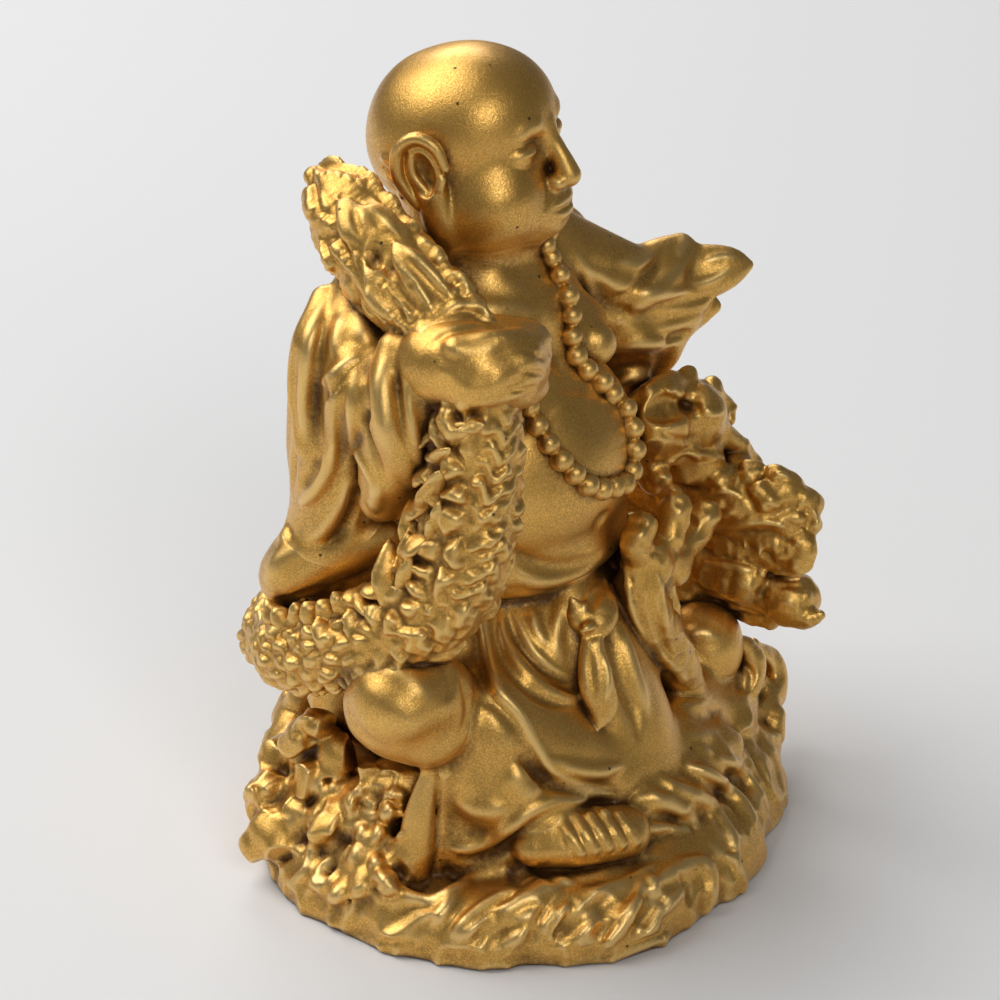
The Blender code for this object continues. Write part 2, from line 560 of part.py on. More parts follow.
def bead_strand():
    """A round tube whose radius swells and narrows once for each bead."""
    skins = []
    for n in ("torso", "head"):
        bm = bmesh.new()
        bm.from_mesh(made[n].data)
        skins.append(BVHTree.FromBMesh(bm))
        bm.free()

    def inside(skin, p):
        """Whether the point is in the closed skin: a line from it crosses the skin an odd number of times."""
        votes = 0
        for way in (Vector((0.31, -0.94, 0.12)), Vector((-0.22, -0.87, -0.43)), Vector((0.05, -0.77, 0.63))):
            at, crossings = p * MM, 0
            while crossings < 20:
                hit = skin.ray_cast(at, way)[0]
                if hit is None:
                    break
                crossings += 1
                at = hit + way * 1e-6
            votes += crossings % 2
        return votes >= 2

    def clear(p, need):
        """The point moved out until it is at least this far outside both skins."""
        for _ in range(4):
            for skin in skins:
                hit, normal, _, _ = skin.find_nearest(p * MM)
                away = p - hit / MM
                if inside(skin, p):
                    p = hit / MM + normal * need
                elif away.length < need:
                    p = hit / MM + away.normalized() * need
        return p

    need = BEAD_RADIUS + BEAD_GAP
    line, _ = smooth_path(STRAND, [1.0] * len(STRAND), 8)
    pushed = []
    for p in line:
        hit, normal, _, _ = skins[0].find_nearest(p * MM)
        pushed.append(clear(hit / MM + normal * need if p.z < 47 else p, need))
    for _ in range(8):
        pushed = [pushed[0]] + [(pushed[i - 1] + pushed[i] * 2 + pushed[i + 1]) / 4 for i in range(1, len(pushed) - 1)] + [pushed[-1]]
    pushed = [clear(p, need + 0.05) for p in pushed]
    length = [0.0]
    for a, b in zip(pushed, pushed[1:]):
        length.append(length[-1] + (b - a).length)
    beads = int(length[-1] / BEAD_PITCH)
    points, radii = [], []
    for k in range(beads * 3 + 1):
        s = k / 3 * BEAD_PITCH
        i = max(j for j in range(len(length)) if length[j] <= s + 1e-9)
        i = min(i, len(length) - 2)
        t = (s - length[i]) / (length[i + 1] - length[i])
        points.append(pushed[i].lerp(pushed[i + 1], t))
        radii.append((0.38, BEAD_RADIUS, BEAD_RADIUS)[k % 3])
    return points, radii


points, radii = bead_strand()
strand = curve_tube(points, radii, 1)
made["prayer_beads"] = place("prayer_beads", strand, SKIN)
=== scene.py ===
"""The looks of the seated monk and dragon figurine: sculpted gold-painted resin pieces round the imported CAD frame.

Each CAD node is replaced by one sculpted piece.  A piece is modelled as a distance field (balls, limbs, strokes pressed
into or raised from the skin), then meshed.  Lengths in the tables are millimetres in the frame's axes; strokes are drawn
as (right, up) pairs in the plane of a view and dropped along that view's rays onto the piece.
"""

import math

import bpy
import numpy as np
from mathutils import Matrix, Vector


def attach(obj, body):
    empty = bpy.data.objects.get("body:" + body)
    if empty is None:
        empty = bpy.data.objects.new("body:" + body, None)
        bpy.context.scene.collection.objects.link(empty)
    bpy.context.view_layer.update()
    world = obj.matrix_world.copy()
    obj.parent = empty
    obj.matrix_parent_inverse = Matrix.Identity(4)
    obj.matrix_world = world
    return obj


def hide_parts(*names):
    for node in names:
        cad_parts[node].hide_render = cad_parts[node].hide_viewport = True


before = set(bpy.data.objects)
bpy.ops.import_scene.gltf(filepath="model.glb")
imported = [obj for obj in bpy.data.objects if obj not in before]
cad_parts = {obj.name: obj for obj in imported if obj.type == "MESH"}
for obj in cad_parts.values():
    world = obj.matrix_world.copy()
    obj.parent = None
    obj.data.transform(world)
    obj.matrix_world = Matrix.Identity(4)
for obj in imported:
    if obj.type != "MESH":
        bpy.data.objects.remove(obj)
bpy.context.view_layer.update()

H = 0.15          # field spacing in mm
H_FINE = 0.105
FAR = 2.5                            # field value far outside a piece
MM = 0.001

# ------------------------------------------------------------------ views that strokes are drawn in


class View:
    """A camera-like view. back points from the object to the viewer; distance None is a parallel view."""

    def __init__(self, azimuth, elevation, target, distance=None):
        a, e = math.radians(azimuth), math.radians(elevation)
        self.back = np.array([math.sin(a) * math.cos(e), -math.cos(a) * math.cos(e), math.sin(e)])
        self.right = np.array([math.cos(a), math.sin(a), 0.0])
        self.up = np.cross(self.back, self.right)
        self.target = np.array(target, float)
        self.distance = distance

    def rays(self, uv):
        uv = np.asarray(uv, float)
        flat = uv[:, :1] * self.right + uv[:, 1:] * self.up
        if self.distance:
            origin = np.repeat((self.target + self.back * self.distance)[None], len(uv), 0)
            way = flat / self.distance - self.back
            way /= np.linalg.norm(way, axis=1, keepdims=True)
            return origin, way, self.distance
        return self.target + flat + self.back * 60, np.repeat(-self.back[None], len(uv), 0), 60.0


MAIN = View(-50, 27, (-0.47, 0.56, 27.15), 330)
FRONT = View(0, 0, (0, 0, 0))
BACK = View(180, 0, (0, 0, 0))
LEFT = View(90, 0, (0, 0, 0))
RIGHT = View(-90, 0, (0, 0, 0))
TOP = View(0, 89.9, (0, 0, 0))


def turned(degrees):
    x, y, z = (math.radians(v) for v in degrees)
    rx = np.array([[1, 0, 0], [0, math.cos(x), -math.sin(x)], [0, math.sin(x), math.cos(x)]])
    ry = np.array([[math.cos(y), 0, math.sin(y)], [0, 1, 0], [-math.sin(y), 0, math.cos(y)]])
    rz = np.array([[math.cos(z), -math.sin(z), 0], [math.sin(z), math.cos(z), 0], [0, 0, 1]])
    return rz @ ry @ rx


def spline(points, steps=6):
    """A Catmull-Rom line through points with any number of columns."""
    p = np.asarray(points, float)
    if len(p) < 3:
        t = np.linspace(0, 1, steps + 1)[:, None]
        return p[0] * (1 - t) + p[-1] * t
    q = np.vstack([2 * p[0] - p[1], p, 2 * p[-1] - p[-2]])
    out = []
    for i in range(1, len(q) - 2):
        t = np.linspace(0, 1, steps, endpoint=False)[:, None]
        a, b, c, d = q[i - 1], q[i], q[i + 1], q[i + 2]
        out.append(0.5 * (2 * b + (c - a) * t + (2 * a - 5 * b + 4 * c - d) * t ** 2 + (3 * b - a - 3 * c + d) * t ** 3))
    out.append(p[-1:])
    return np.vstack(out)


def even(points, step):
    """The polyline sampled at an even spacing; extra columns ride along."""
    p = np.asarray(points, float)
    seg = np.linalg.norm(np.diff(p[:, :3], axis=0), axis=1)
    s = np.concatenate([[0], np.cumsum(seg)])
    keep = np.concatenate([[True], seg > 1e-9])
    p, s = p[keep], s[keep]
    n = max(int(round(s[-1] / step)), 1)
    at = np.linspace(0, s[-1], n + 1)
    return np.stack([np.interp(at, s, p[:, i]) for i in range(p.shape[1])], 1)


def soft_min(a, b, k):
    if k <= 0:
        return np.minimum(a, b)
    h = np.maximum(k - np.abs(a - b), 0) / k
    return np.minimum(a, b) - h * h * (k / 4)


NOISE = {}


def noise_grid(scale, seed):
    key = (scale, seed)
    if key not in NOISE:
        n = int(64 / scale) + 4
        m = int(72 / scale) + 4
        NOISE[key] = np.random.default_rng(seed).uniform(-1, 1, (n, n, m)).astype(np.float32)
    return NOISE[key]


class Clay:
    """A distance field on a box of lattice points."""

    def __init__(self, low, high, h=None):
        self.h = h or H
        self.o = np.floor(np.array(low, float) / self.h).astype(int)
        self.n = np.ceil(np.array(high, float) / self.h).astype(int) - self.o + 1
        self.F = np.full(self.n, FAR, np.float32)
        self.gain = 1.0                  # how strongly strokes are pressed

    # -- regions
    def region(self, low, high):
        a = np.maximum(np.floor(np.asarray(low) / self.h).astype(int) - self.o, 0)
        b = np.minimum(np.ceil(np.asarray(high) / self.h).astype(int) - self.o + 1, self.n)
        if (b <= a).any():
            return None
        axes = [((np.arange(a[i], b[i]) + self.o[i]) * self.h).astype(np.float32) for i in range(3)]
        return tuple(slice(int(x), int(y)) for x, y in zip(a, b)), axes[0][:, None, None], axes[1][None, :, None], axes[2][None, None, :]

    def _put(self, sl, D, k, cut):
        A = self.F[sl]
        if cut:
            self.F[sl] = -soft_min(-A, D, k)
        else:
            self.F[sl] = soft_min(A, D, k)

    # -- shapes
    def ball(self, c, r, turn=(0, 0, 0), k=0.6, cut=False):
        c = np.asarray(c, float)
        r = np.full(3, r, float) if np.isscalar(r) else np.asarray(r, float)
        R = turned(turn) if not isinstance(turn, np.ndarray) else turn
        ext = np.sqrt(((R * r) ** 2).sum(1)) + k + 1.0
        got = self.region(c - ext, c + ext)
        if got is None:
            return self
        sl, X, Y, Z = got
        x, y, z = X - c[0], Y - c[1], Z - c[2]
        k0, k1 = 0, 0
        for i in range(3):
            p = x * np.float32(R[0, i]) + y * np.float32(R[1, i]) + z * np.float32(R[2, i])
            k0 = k0 + (p / np.float32(r[i])) ** 2
            k1 = k1 + (p / np.float32(r[i] ** 2)) ** 2
        k0 = np.sqrt(k0)
        D = k0 * (k0 - 1) / np.maximum(np.sqrt(k1), 1e-5)
        self._put(sl, D, k, cut)
        return self

    def box(self, c, half, turn=(0, 0, 0), rnd=0.4, k=0.4, cut=False):
        c, half = np.asarray(c, float), np.asarray(half, float)
        R = turned(turn)
        ext = np.sqrt(((R * half) ** 2).sum(1)) * 1.25 + rnd + k + 0.8
        got = self.region(c - ext, c + ext)
        if got is None:
            return self
        sl, X, Y, Z = got
        x, y, z = X - c[0], Y - c[1], Z - c[2]
        out, inn = 0, None
        for i in range(3):
            q = np.abs(x * np.float32(R[0, i]) + y * np.float32(R[1, i]) + z * np.float32(R[2, i])) - np.float32(half[i] - rnd)
            out = out + np.maximum(q, 0) ** 2
            inn = q if inn is None else np.maximum(inn, q)
        D = np.sqrt(out) + np.minimum(inn, 0) - rnd
        self._put(sl, D.astype(np.float32), k, cut)
        return self

    def _chain(self, pts, rad, reach, flat=None, want_s=False):
        """Nearest distance to a tapered polyline over its box: D, and the arc length and segment of the nearest point."""
        low, high = pts.min(0) - rad.max() - reach, pts.max(0) + rad.max() + reach
        got = self.region(low, high)
        if got is None:
            return None
        sl, _, _, _ = got
        shape = tuple(s.stop - s.start for s in sl)
        D = np.full(shape, FAR + 1, np.float32)
        S = np.zeros(shape, np.float32) if want_s else None
        base = np.array([s.start for s in sl])
        s0 = 0.0
        for i in range(len(pts) - 1):
            a, b, ra, rb = pts[i], pts[i + 1], rad[i], rad[i + 1]
            ab = b - a
            L2 = float(ab @ ab)
            if L2 < 1e-10:
                continue
            m = max(ra, rb) + reach
            sub = self.region(np.minimum(a, b) - m, np.maximum(a, b) + m)
            if sub is None:
                s0 += math.sqrt(L2)
                continue
            ss, X, Y, Z = sub
            x, y, z = X - np.float32(a[0]), Y - np.float32(a[1]), Z - np.float32(a[2])
            t = np.clip((x * np.float32(ab[0]) + y * np.float32(ab[1]) + z * np.float32(ab[2])) / np.float32(L2), 0, 1)
            vx, vy, vz = x - t * np.float32(ab[0]), y - t * np.float32(ab[1]), z - t * np.float32(ab[2])
            d2 = vx * vx + vy * vy + vz * vz
            if flat is not None:
                n, f = flat[0][i], flat[1]
                vn = vx * np.float32(n[0]) + vy * np.float32(n[1]) + vz * np.float32(n[2])
                d2 = d2 + vn * vn * np.float32(1 / f ** 2 - 1)
            r = np.float32(ra) + t * np.float32(rb - ra)
            d = np.sqrt(d2) - r
            if flat is not None:
                d = d * np.float32(0.5 + 0.5 * flat[1])
            loc = tuple(slice(s.start - o, s.stop - o) for s, o in zip(ss, base))
            cur = D[loc]
            up = d < cur
            cur[up] = d[up]
            if want_s:
                S[loc][up] = (np.float32(s0) + t * np.float32(math.sqrt(L2)))[up]
            s0 += math.sqrt(L2)
        return sl, D, S

    def limb(self, points, radii, k=0.5, cut=False, steps=6, flat=None, detail=None):
        """A tapered round or flattened limb. flat is (normal, factor); detail(s, side, up) gives a height to raise the skin by,
        from the arc length and the direction round the limb."""
        rows = spline(np.column_stack([np.asarray(points, float), np.asarray(radii, float)]), steps)
        rows = even(rows, 0.45)
        pts, rad = rows[:, :3], rows[:, 3]
        fl = None
        if flat is not None:
            n = np.asarray(flat[0], float)
            tan = np.gradient(pts, axis=0)
            tan /= np.linalg.norm(tan, axis=1, keepdims=True) + 1e-9
            nn = n - tan * (tan @ n)[:, None]
            nn /= np.linalg.norm(nn, axis=1, keepdims=True) + 1e-9
            fl = (nn, flat[1])
        got = self._chain(pts, rad, k + 0.9, fl, detail is not None)
        if got is None:
            return self
        sl, D, S = got
        if detail is not None:
            ref, fn = detail
            band = np.nonzero(np.abs(D) < 1.3)
            s = S[band]
            seg = np.linalg.norm(np.diff(pts, axis=0), axis=1)
            cum = np.concatenate([[0], np.cumsum(seg)])
            c = np.stack([np.interp(s, cum, pts[:, i]) for i in range(3)], 1)
            tan = np.gradient(pts, axis=0)
            tan /= np.linalg.norm(tan, axis=1, keepdims=True) + 1e-9
            t = np.stack([np.interp(s, cum, tan[:, i]) for i in range(3)], 1)
            P = np.stack([(band[i] + sl[i].start + self.o[i]) * self.h for i in range(3)], 1)
            v = P - c
            r = np.asarray(ref, float)
            n = r - t * (t @ r)[:, None]
            n /= np.linalg.norm(n, axis=1, keepdims=True) + 1e-9
            b = np.cross(n, t)
            ang = np.arctan2((v * b).sum(1), (v * n).sum(1))
            rr = np.interp(s, cum, rad)
            D[band] -= fn(s, ang, rr, cum[-1]).astype(np.float32)
        self._put(sl, D, k, cut)
        return self

    # -- looking up values
    def sample(self, P, outside=FAR):
        q = np.asarray(P) / self.h - self.o
        i = np.floor(q).astype(int)
        ok = ((i >= 0) & (i < self.n - 1)).all(-1)
        i = np.where(ok[..., None], i, 0)
        f = (q - i).astype(np.float32)
        f = np.where(ok[..., None], f, 0)
        x, y, z = i[..., 0], i[..., 1], i[..., 2]
        fx, fy, fz = f[..., 0], f[..., 1], f[..., 2]
        F = self.F
        c00 = F[x, y, z] * (1 - fx) + F[x + 1, y, z] * fx
        c10 = F[x, y + 1, z] * (1 - fx) + F[x + 1, y + 1, z] * fx
        c01 = F[x, y, z + 1] * (1 - fx) + F[x + 1, y, z + 1] * fx
        c11 = F[x, y + 1, z + 1] * (1 - fx) + F[x + 1, y + 1, z + 1] * fx
        v = (c00 * (1 - fy) + c10 * fy) * (1 - fz) + (c01 * (1 - fy) + c11 * fy) * fz
        return np.where(ok, v, outside)

    def onto(self, path, view=MAIN, steps=6, spacing=0.35):
        """The stroke's points dropped onto the skin, with any further columns of the path kept."""
        rows = spline(path, steps)
        origin, way, mid = view.rays(rows[:, :2])
        t = np.arange(mid - 46, mid + 46, self.h * 1.5)
        P = origin[:, None] + way[:, None] * t[None, :, None]
        val = self.sample(P)
        hit = val < 0
        some = hit.any(1)
        if some.sum() < 2:
            return None
        first = hit.argmax(1)
        j = np.maximum(first, 1)
        i = np.arange(len(rows))
        v0, v1 = val[i, j - 1], val[i, j]
        tt = t[j - 1] + (t[1] - t[0]) * np.clip(v0 / np.maximum(v0 - v1, 1e-6), 0, 1)
        pts = origin + way * tt[:, None]
        pts, extra = pts[some], rows[some, 2:]
        # a stroke that jumps far in depth is cut there
        jump = np.linalg.norm(np.diff(pts, axis=0), axis=1)
        if len(jump) and jump.max() > 3.0:
            cuts = [0] + list(np.nonzero(jump > 3.0)[0] + 1) + [len(pts)]
            best = max(range(len(cuts) - 1), key=lambda m: cuts[m + 1] - cuts[m])
            pts, extra = pts[cuts[best]:cuts[best + 1]], extra[cuts[best]:cuts[best + 1]]
            if len(pts) < 2:
                return None
        return even(np.column_stack([pts, extra]), spacing)

    # -- strokes
    def stroke(self, path, width, height, view=MAIN, ends=(0.35, 0.35), sharp=False, steps=6):
        """Raises (height > 0) or presses (height < 0) a soft line along a path of (right, up) pairs in a view."""
        rows = self.onto(path, view, steps)
        if rows is None:
            return self
        return self.stroke3(rows[:, :3], width, height, ends, sharp)

    def stroke3(self, pts, width, height, ends=(0.35, 0.35), sharp=False):
        pts = np.asarray(pts, float)
        n = len(pts)
        if n < 2:
            return self
        s = np.linspace(0, 1, n)
        fade = np.clip(s / max(ends[0], 1e-3), 0, 1) * np.clip((1 - s) / max(ends[1], 1e-3), 0, 1)
        fade = fade * fade * (3 - 2 * fade)
        w = width * (0.55 + 0.45 * fade)
        got = self._stroke_field(pts, w, fade)
        if got is None:
            return self
        sl, D, W, A = got
        q = D / W
        prof = np.exp(-q * q) if not sharp else np.exp(-np.abs(q) * 1.6)
        self.F[sl] -= (height * self.gain * A * prof).astype(np.float32)
        return self

    def _stroke_field(self, pts, w, amp):
        reach = 2.2 * w.max()
        got = self.region(pts.min(0) - reach, pts.max(0) + reach)
        if got is None:
            return None
        sl = got[0]
        shape = tuple(s.stop - s.start for s in sl)
        D = np.full(shape, 99.0, np.float32)
        W = np.full(shape, 1.0, np.float32)
        A = np.zeros(shape, np.float32)
        base = np.array([s.start for s in sl])
        for i in range(len(pts) - 1):
            a, b = pts[i], pts[i + 1]
            ab = b - a
            L2 = float(ab @ ab)
            if L2 < 1e-10:
                continue
            sub = self.region(np.minimum(a, b) - reach, np.maximum(a, b) + reach)
            if sub is None:
                continue
            ss, X, Y, Z = sub
            x, y, z = X - np.float32(a[0]), Y - np.float32(a[1]), Z - np.float32(a[2])
            t = np.clip((x * np.float32(ab[0]) + y * np.float32(ab[1]) + z * np.float32(ab[2])) / np.float32(L2), 0, 1)
            d = np.sqrt((x - t * np.float32(ab[0])) ** 2 + (y - t * np.float32(ab[1])) ** 2 + (z - t * np.float32(ab[2])) ** 2)
            loc = tuple(slice(q.start - o, q.stop - o) for q, o in zip(ss, base))
            cur = D[loc]
            up = d < cur
            cur[up] = d[up]
            W[loc][up] = (np.float32(w[i]) + t * np.float32(w[i + 1] - w[i]))[up]
            A[loc][up] = (np.float32(amp[i]) + t * np.float32(amp[i + 1] - amp[i]))[up]
        return sl, D, W, A

    def strokes(self, table, view=MAIN, **kw):
        for row in table:
            path, width, height = row[:3]
            extra = row[3] if len(row) > 3 else {}
            self.stroke(path, width, height, view, **{**kw, **extra})
        return self

    def dab(self, uv, r, height, view=MAIN):
        """A round lump (height > 0) or dent at one place of a view."""
        rows = self.onto([(uv[0] - 0.01, uv[1]), uv, (uv[0] + 0.01, uv[1])], view, 2)
        if rows is None:
            return self
        c = rows[len(rows) // 2, :3]
        self.ball_field(c, r, height)
        return self

    def ball_field(self, c, r, height):
        got = self.region(c - 2.4 * r, c + 2.4 * r)
        if got is None:
            return self
        sl, X, Y, Z = got
        d2 = (X - np.float32(c[0])) ** 2 + (Y - np.float32(c[1])) ** 2 + (Z - np.float32(c[2])) ** 2
        self.F[sl] -= (height * np.exp(-d2 / np.float32(r * r))).astype(np.float32)
        return self

    def on_skin(self, uv, view=MAIN, lift=0.0):
        """The place on the skin under one point of a view, moved towards the viewer by lift."""
        rows = self.onto([(uv[0] - 0.01, uv[1]), uv, (uv[0] + 0.01, uv[1])], view, 2)
        if rows is None:
            return None
        return rows[len(rows) // 2, :3] + view.back * lift

    def near(self, uv, sink=0.5, view=MAIN):
        """Like on_skin, pushed in by sink; where the view's line misses the piece, the place where it passes nearest."""
        origin, way, mid = view.rays([uv])
        t = np.arange(mid - 46, mid + 46, self.h)
        P = origin + way * t[:, None]
        val = self.sample(P)
        inside = np.nonzero(val < 0)[0]
        if len(inside):
            return P[inside[0]] - view.back * sink
        j = int(val.argmin())
        return P[j] if val[j] < FAR - 0.1 else None

    # -- all over
    def rough(self, scale, height, seed, mask=None, ridged=False):
        G = noise_grid(scale, seed)
        out = G
        for ax in range(3):
            x = (np.arange(self.n[ax]) + self.o[ax]) * self.h
            p = (x + 32) / scale if ax < 2 else (x + 4) / scale
            i = np.clip(np.floor(p).astype(int), 0, out.shape[ax] - 2)
            f = np.clip(p - i, 0, 1)
            f = (f * f * (3 - 2 * f)).astype(np.float32)
            shape = [1, 1, 1]
            shape[ax] = -1
            f = f.reshape(shape)
            out = np.take(out, i, ax) * (1 - f) + np.take(out, i + 1, ax) * f
        if ridged:
            out = 0.45 - 1.6 * np.sqrt(np.abs(out) + 0.01)
        if mask is not None:
            out = out * mask
        self.F -= np.float32(height) * out
        return self

    def blend_into(self, other, k, eps=0.03):
        """A soft fillet where this piece meets another one."""
        low = np.maximum(self.o * self.h, other.o * other.h)
        high = np.minimum((self.o + self.n - 1) * self.h, (other.o + other.n - 1) * other.h)
        got = self.region(low, high)
        if got is None:
            return self
        sl = got[0]
        A = self.F[sl]
        near = np.nonzero(A < k)
        if not len(near[0]):
            return self
        P = np.stack([(near[i] + sl[i].start + self.o[i]) * self.h for i in range(3)], 1)
        B = other.sample(P) + eps
        a = A[near]
        g = np.maximum(soft_min(a, B, k), a - 0.8 * k)
        A[near] = g.astype(np.float32)
        return self

    def floor(self, z=0.0):
        Z = ((np.arange(self.n[2]) + self.o[2]) * self.h).astype(np.float32)
        self.F = np.maximum(self.F, (z - Z)[None, None, :])
        return self


# ------------------------------------------------------------------ from field to mesh


def surface_net(F):
    """Quads on the zero level of a field: one vertex in each cell that the level crosses."""
    F = F.copy()
    F[0], F[-1], F[:, 0], F[:, -1], F[:, :, 0], F[:, :, -1] = 1, 1, 1, 1, 1, 1
    S = F < 0
    cell = np.zeros(tuple(n - 1 for n in F.shape), np.uint8)
    for dx in (0, 1):
        for dy in (0, 1):
            for dz in (0, 1):
                cell += S[dx:F.shape[0] - 1 + dx, dy:F.shape[1] - 1 + dy, dz:F.shape[2] - 1 + dz]
    active = (cell > 0) & (cell < 8)
    ix, iy, iz = np.nonzero(active)
    index = np.full(cell.shape, -1, np.int32)
    index[ix, iy, iz] = np.arange(len(ix))
    pos = np.zeros((len(ix), 3), np.float32)
    cnt = np.zeros(len(ix), np.float32)
    corners = [(a, b, c) for a in (0, 1) for b in (0, 1) for c in (0, 1)]
    val = {c: F[ix + c[0], iy + c[1], iz + c[2]] for c in corners}
    for c in corners:
        for ax in range(3):
            if c[ax]:
                continue
            d = list(c)
            d[ax] = 1
            a, b = val[c], val[tuple(d)]
            cross = (a < 0) != (b < 0)
            t = np.where(cross, a / np.where(cross, a - b, 1), 0)
            for k in range(3):
                pos[:, k] += np.where(cross, c[k] + (t if k == ax else 0), 0)
            cnt += cross
    pos /= cnt[:, None]
    pos += np.stack([ix, iy, iz], 1)
    quads = []
    for ax in range(3):
        o1, o2 = (ax + 1) % 3, (ax + 2) % 3
        lo = [slice(None)] * 3
        hi = [slice(None)] * 3
        lo[ax], hi[ax] = slice(0, -1), slice(1, None)
        a, b = S[tuple(lo)], S[tuple(hi)]
        e = np.nonzero(a != b)
        ok = (e[o1] > 0) & (e[o2] > 0) & (e[o1] < F.shape[o1] - 1) & (e[o2] < F.shape[o2] - 1)
        e = tuple(x[ok] for x in e)
        out = a[e]
        q = []
        for d1, d2 in ((-1, -1), (0, -1), (0, 0), (-1, 0)):
            p = list(e)
            p[o1] = e[o1] + d1
            p[o2] = e[o2] + d2
            q.append(index[tuple(p)])
        q = np.stack(q, 1)
        q[~out] = q[~out][:, ::-1]
        quads.append(q)
    return pos, np.vstack(quads)


def main_body(points, quads):
    """Leaves only the largest connected part."""
    n = len(points)
    label = np.arange(n)
    edges = np.vstack([quads[:, [0, 1]], quads[:, [1, 2]], quads[:, [2, 3]]])
    while True:
        low = np.minimum(label[edges[:, 0]], label[edges[:, 1]])
        new = label.copy()
        np.minimum.at(new, edges[:, 0], low)
        np.minimum.at(new, edges[:, 1], low)
        new = new[new]
        new = new[new]
        if (new == label).all():
            break
        label = new
    big = np.bincount(label).argmax()
    keep = label == big
    remap = np.full(n, -1)
    remap[keep] = np.arange(keep.sum())
    q = remap[quads]
    return points[keep], q[(q >= 0).all(1)]


def blurred(F, times):
    out = F
    for _ in range(times):
        for ax in range(3):
            pad = np.concatenate([np.take(out, [0], ax), out, np.take(out, [-1], ax)], ax)
            n = out.shape[ax]
            a = np.take(pad, range(0, n), ax)
            b = np.take(pad, range(2, n + 2), ax)
            out = out * np.float32(0.5) + (a + b) * np.float32(0.25)
    return out


# ------------------------------------------------------------------ shared parts of the sculpt


def at_x(uv, x):
    """Where the view's ray through uv crosses the plane at x."""
    return at_plane(uv, 0, x)


def at_y(uv, y):
    return at_plane(uv, 1, -y)


def at_plane(uv, axis, value):
    origin, way, _ = MAIN.rays([uv])
    return origin[0] + way[0] * ((value - origin[0, axis]) / way[0, axis])


def leaf(clay, foot, tip, normal, width, thick=0.35, k=0.25, belly=1.0, bend=None):
    """A pointed plate from foot to tip, as on the dragon's back. bend lifts its middle."""
    foot, tip = np.asarray(foot, float), np.asarray(tip, float)
    lift = np.zeros(3) if bend is None else np.asarray(bend, float)
    pts = [foot, foot * 0.65 + tip * 0.35 + lift * 0.8, foot * 0.25 + tip * 0.75 + lift, tip]
    rad = [width * 0.55, width * belly, width * 0.62, 0.14]
    clay.limb(pts, rad, k, flat=(normal, thick))
    return clay


def bumps(s, a, p, q, lift, lap=0.62):
    """Rows of overlapping round scales: s runs along, a round the limb, both in mm."""
    h = np.zeros_like(s)
    for row in (0, 1):
        r = s / p + 0.5 * row
        i = np.floor(r)
        fy = r - i - 0.5
        x = a / q + 0.5 * ((i + row) % 2)
        fx = x - np.round(x)
        d2 = (fx ** 2) * 1.0 + ((fy + 0.1) ** 2) * 0.8
        h = np.maximum(h, np.clip(1 - d2 / (lap * lap * 0.62), 0, 1) ** 0.6)
    return h * lift


def cells(x, y, seed=0.0, jitter=0.8):
    """Nearest and second nearest distance to jittered cell centres in the plane, and a number for the nearest cell."""
    ix, iy = np.floor(x), np.floor(y)
    f1 = np.full_like(x, 9.0)
    f2 = np.full_like(x, 9.0)
    tag = np.zeros_like(x)
    for dx in (-1, 0, 1):
        for dy in (-1, 0, 1):
            cx, cy = ix + dx, iy + dy
            jx = hashed(cx * 3.7 + cy * 9.1, seed + 0.3)
            jy = hashed(cx * 7.3 + cy * 2.9, seed + 1.7)
            d = np.hypot(cx + 0.5 + jitter * (jx - 0.5) - x, cy + 0.5 + jitter * (jy - 0.5) - y)
            near = d < f1
            f2 = np.where(near, f1, np.minimum(f2, d))
            tag = np.where(near, hashed(cx * 1.3 + cy * 5.7, seed + 2.1), tag)
            f1 = np.where(near, d, f1)
    return f1, f2, tag


def lumps(s, w, ds, dw, height, seed=0.0, jitter=0.8):
    """Irregular rounded scales with dark cracks between them."""
    f1, f2, tag = cells(s / ds, w / dw, seed, jitter)
    dome = smooth(f2 - f1, 0.0, 0.58) * (0.75 + 0.25 * (1 - f1 ** 2))
    return height * (dome * (0.55 + 0.6 * tag) - 0.25)


def hashed(i, seed=0.0):
    v = np.sin(i * 12.9898 + seed * 78.233) * 43758.5453
    return v - np.floor(v)


def smooth(x, a, b):
    t = np.clip((x - a) / (b - a), 0, 1)
    return t * t * (3 - 2 * t)


# the head's own axes: it looks a little to its left and up
HEAD_AT = np.array([0.3, 4.3, 54.2])
HEAD_TURN = turned((-8, 0, 18))


def head_point(x, y, z):
    return HEAD_AT + HEAD_TURN @ np.array([x, y, z], float)


HEAD_VIEW = View(0, 0, HEAD_AT)
HEAD_VIEW.right, HEAD_VIEW.up, HEAD_VIEW.back = HEAD_TURN[:, 0], HEAD_TURN[:, 2], -HEAD_TURN[:, 1]
HEAD_RIGHT = View(0, 0, HEAD_AT)
HEAD_RIGHT.right, HEAD_RIGHT.up, HEAD_RIGHT.back = -HEAD_TURN[:, 1], HEAD_TURN[:, 2], -HEAD_TURN[:, 0]
HEAD_LEFT = View(0, 0, HEAD_AT)
HEAD_LEFT.right, HEAD_LEFT.up, HEAD_LEFT.back = HEAD_TURN[:, 1], HEAD_TURN[:, 2], HEAD_TURN[:, 0]

# ------------------------------------------------------------------ the monk


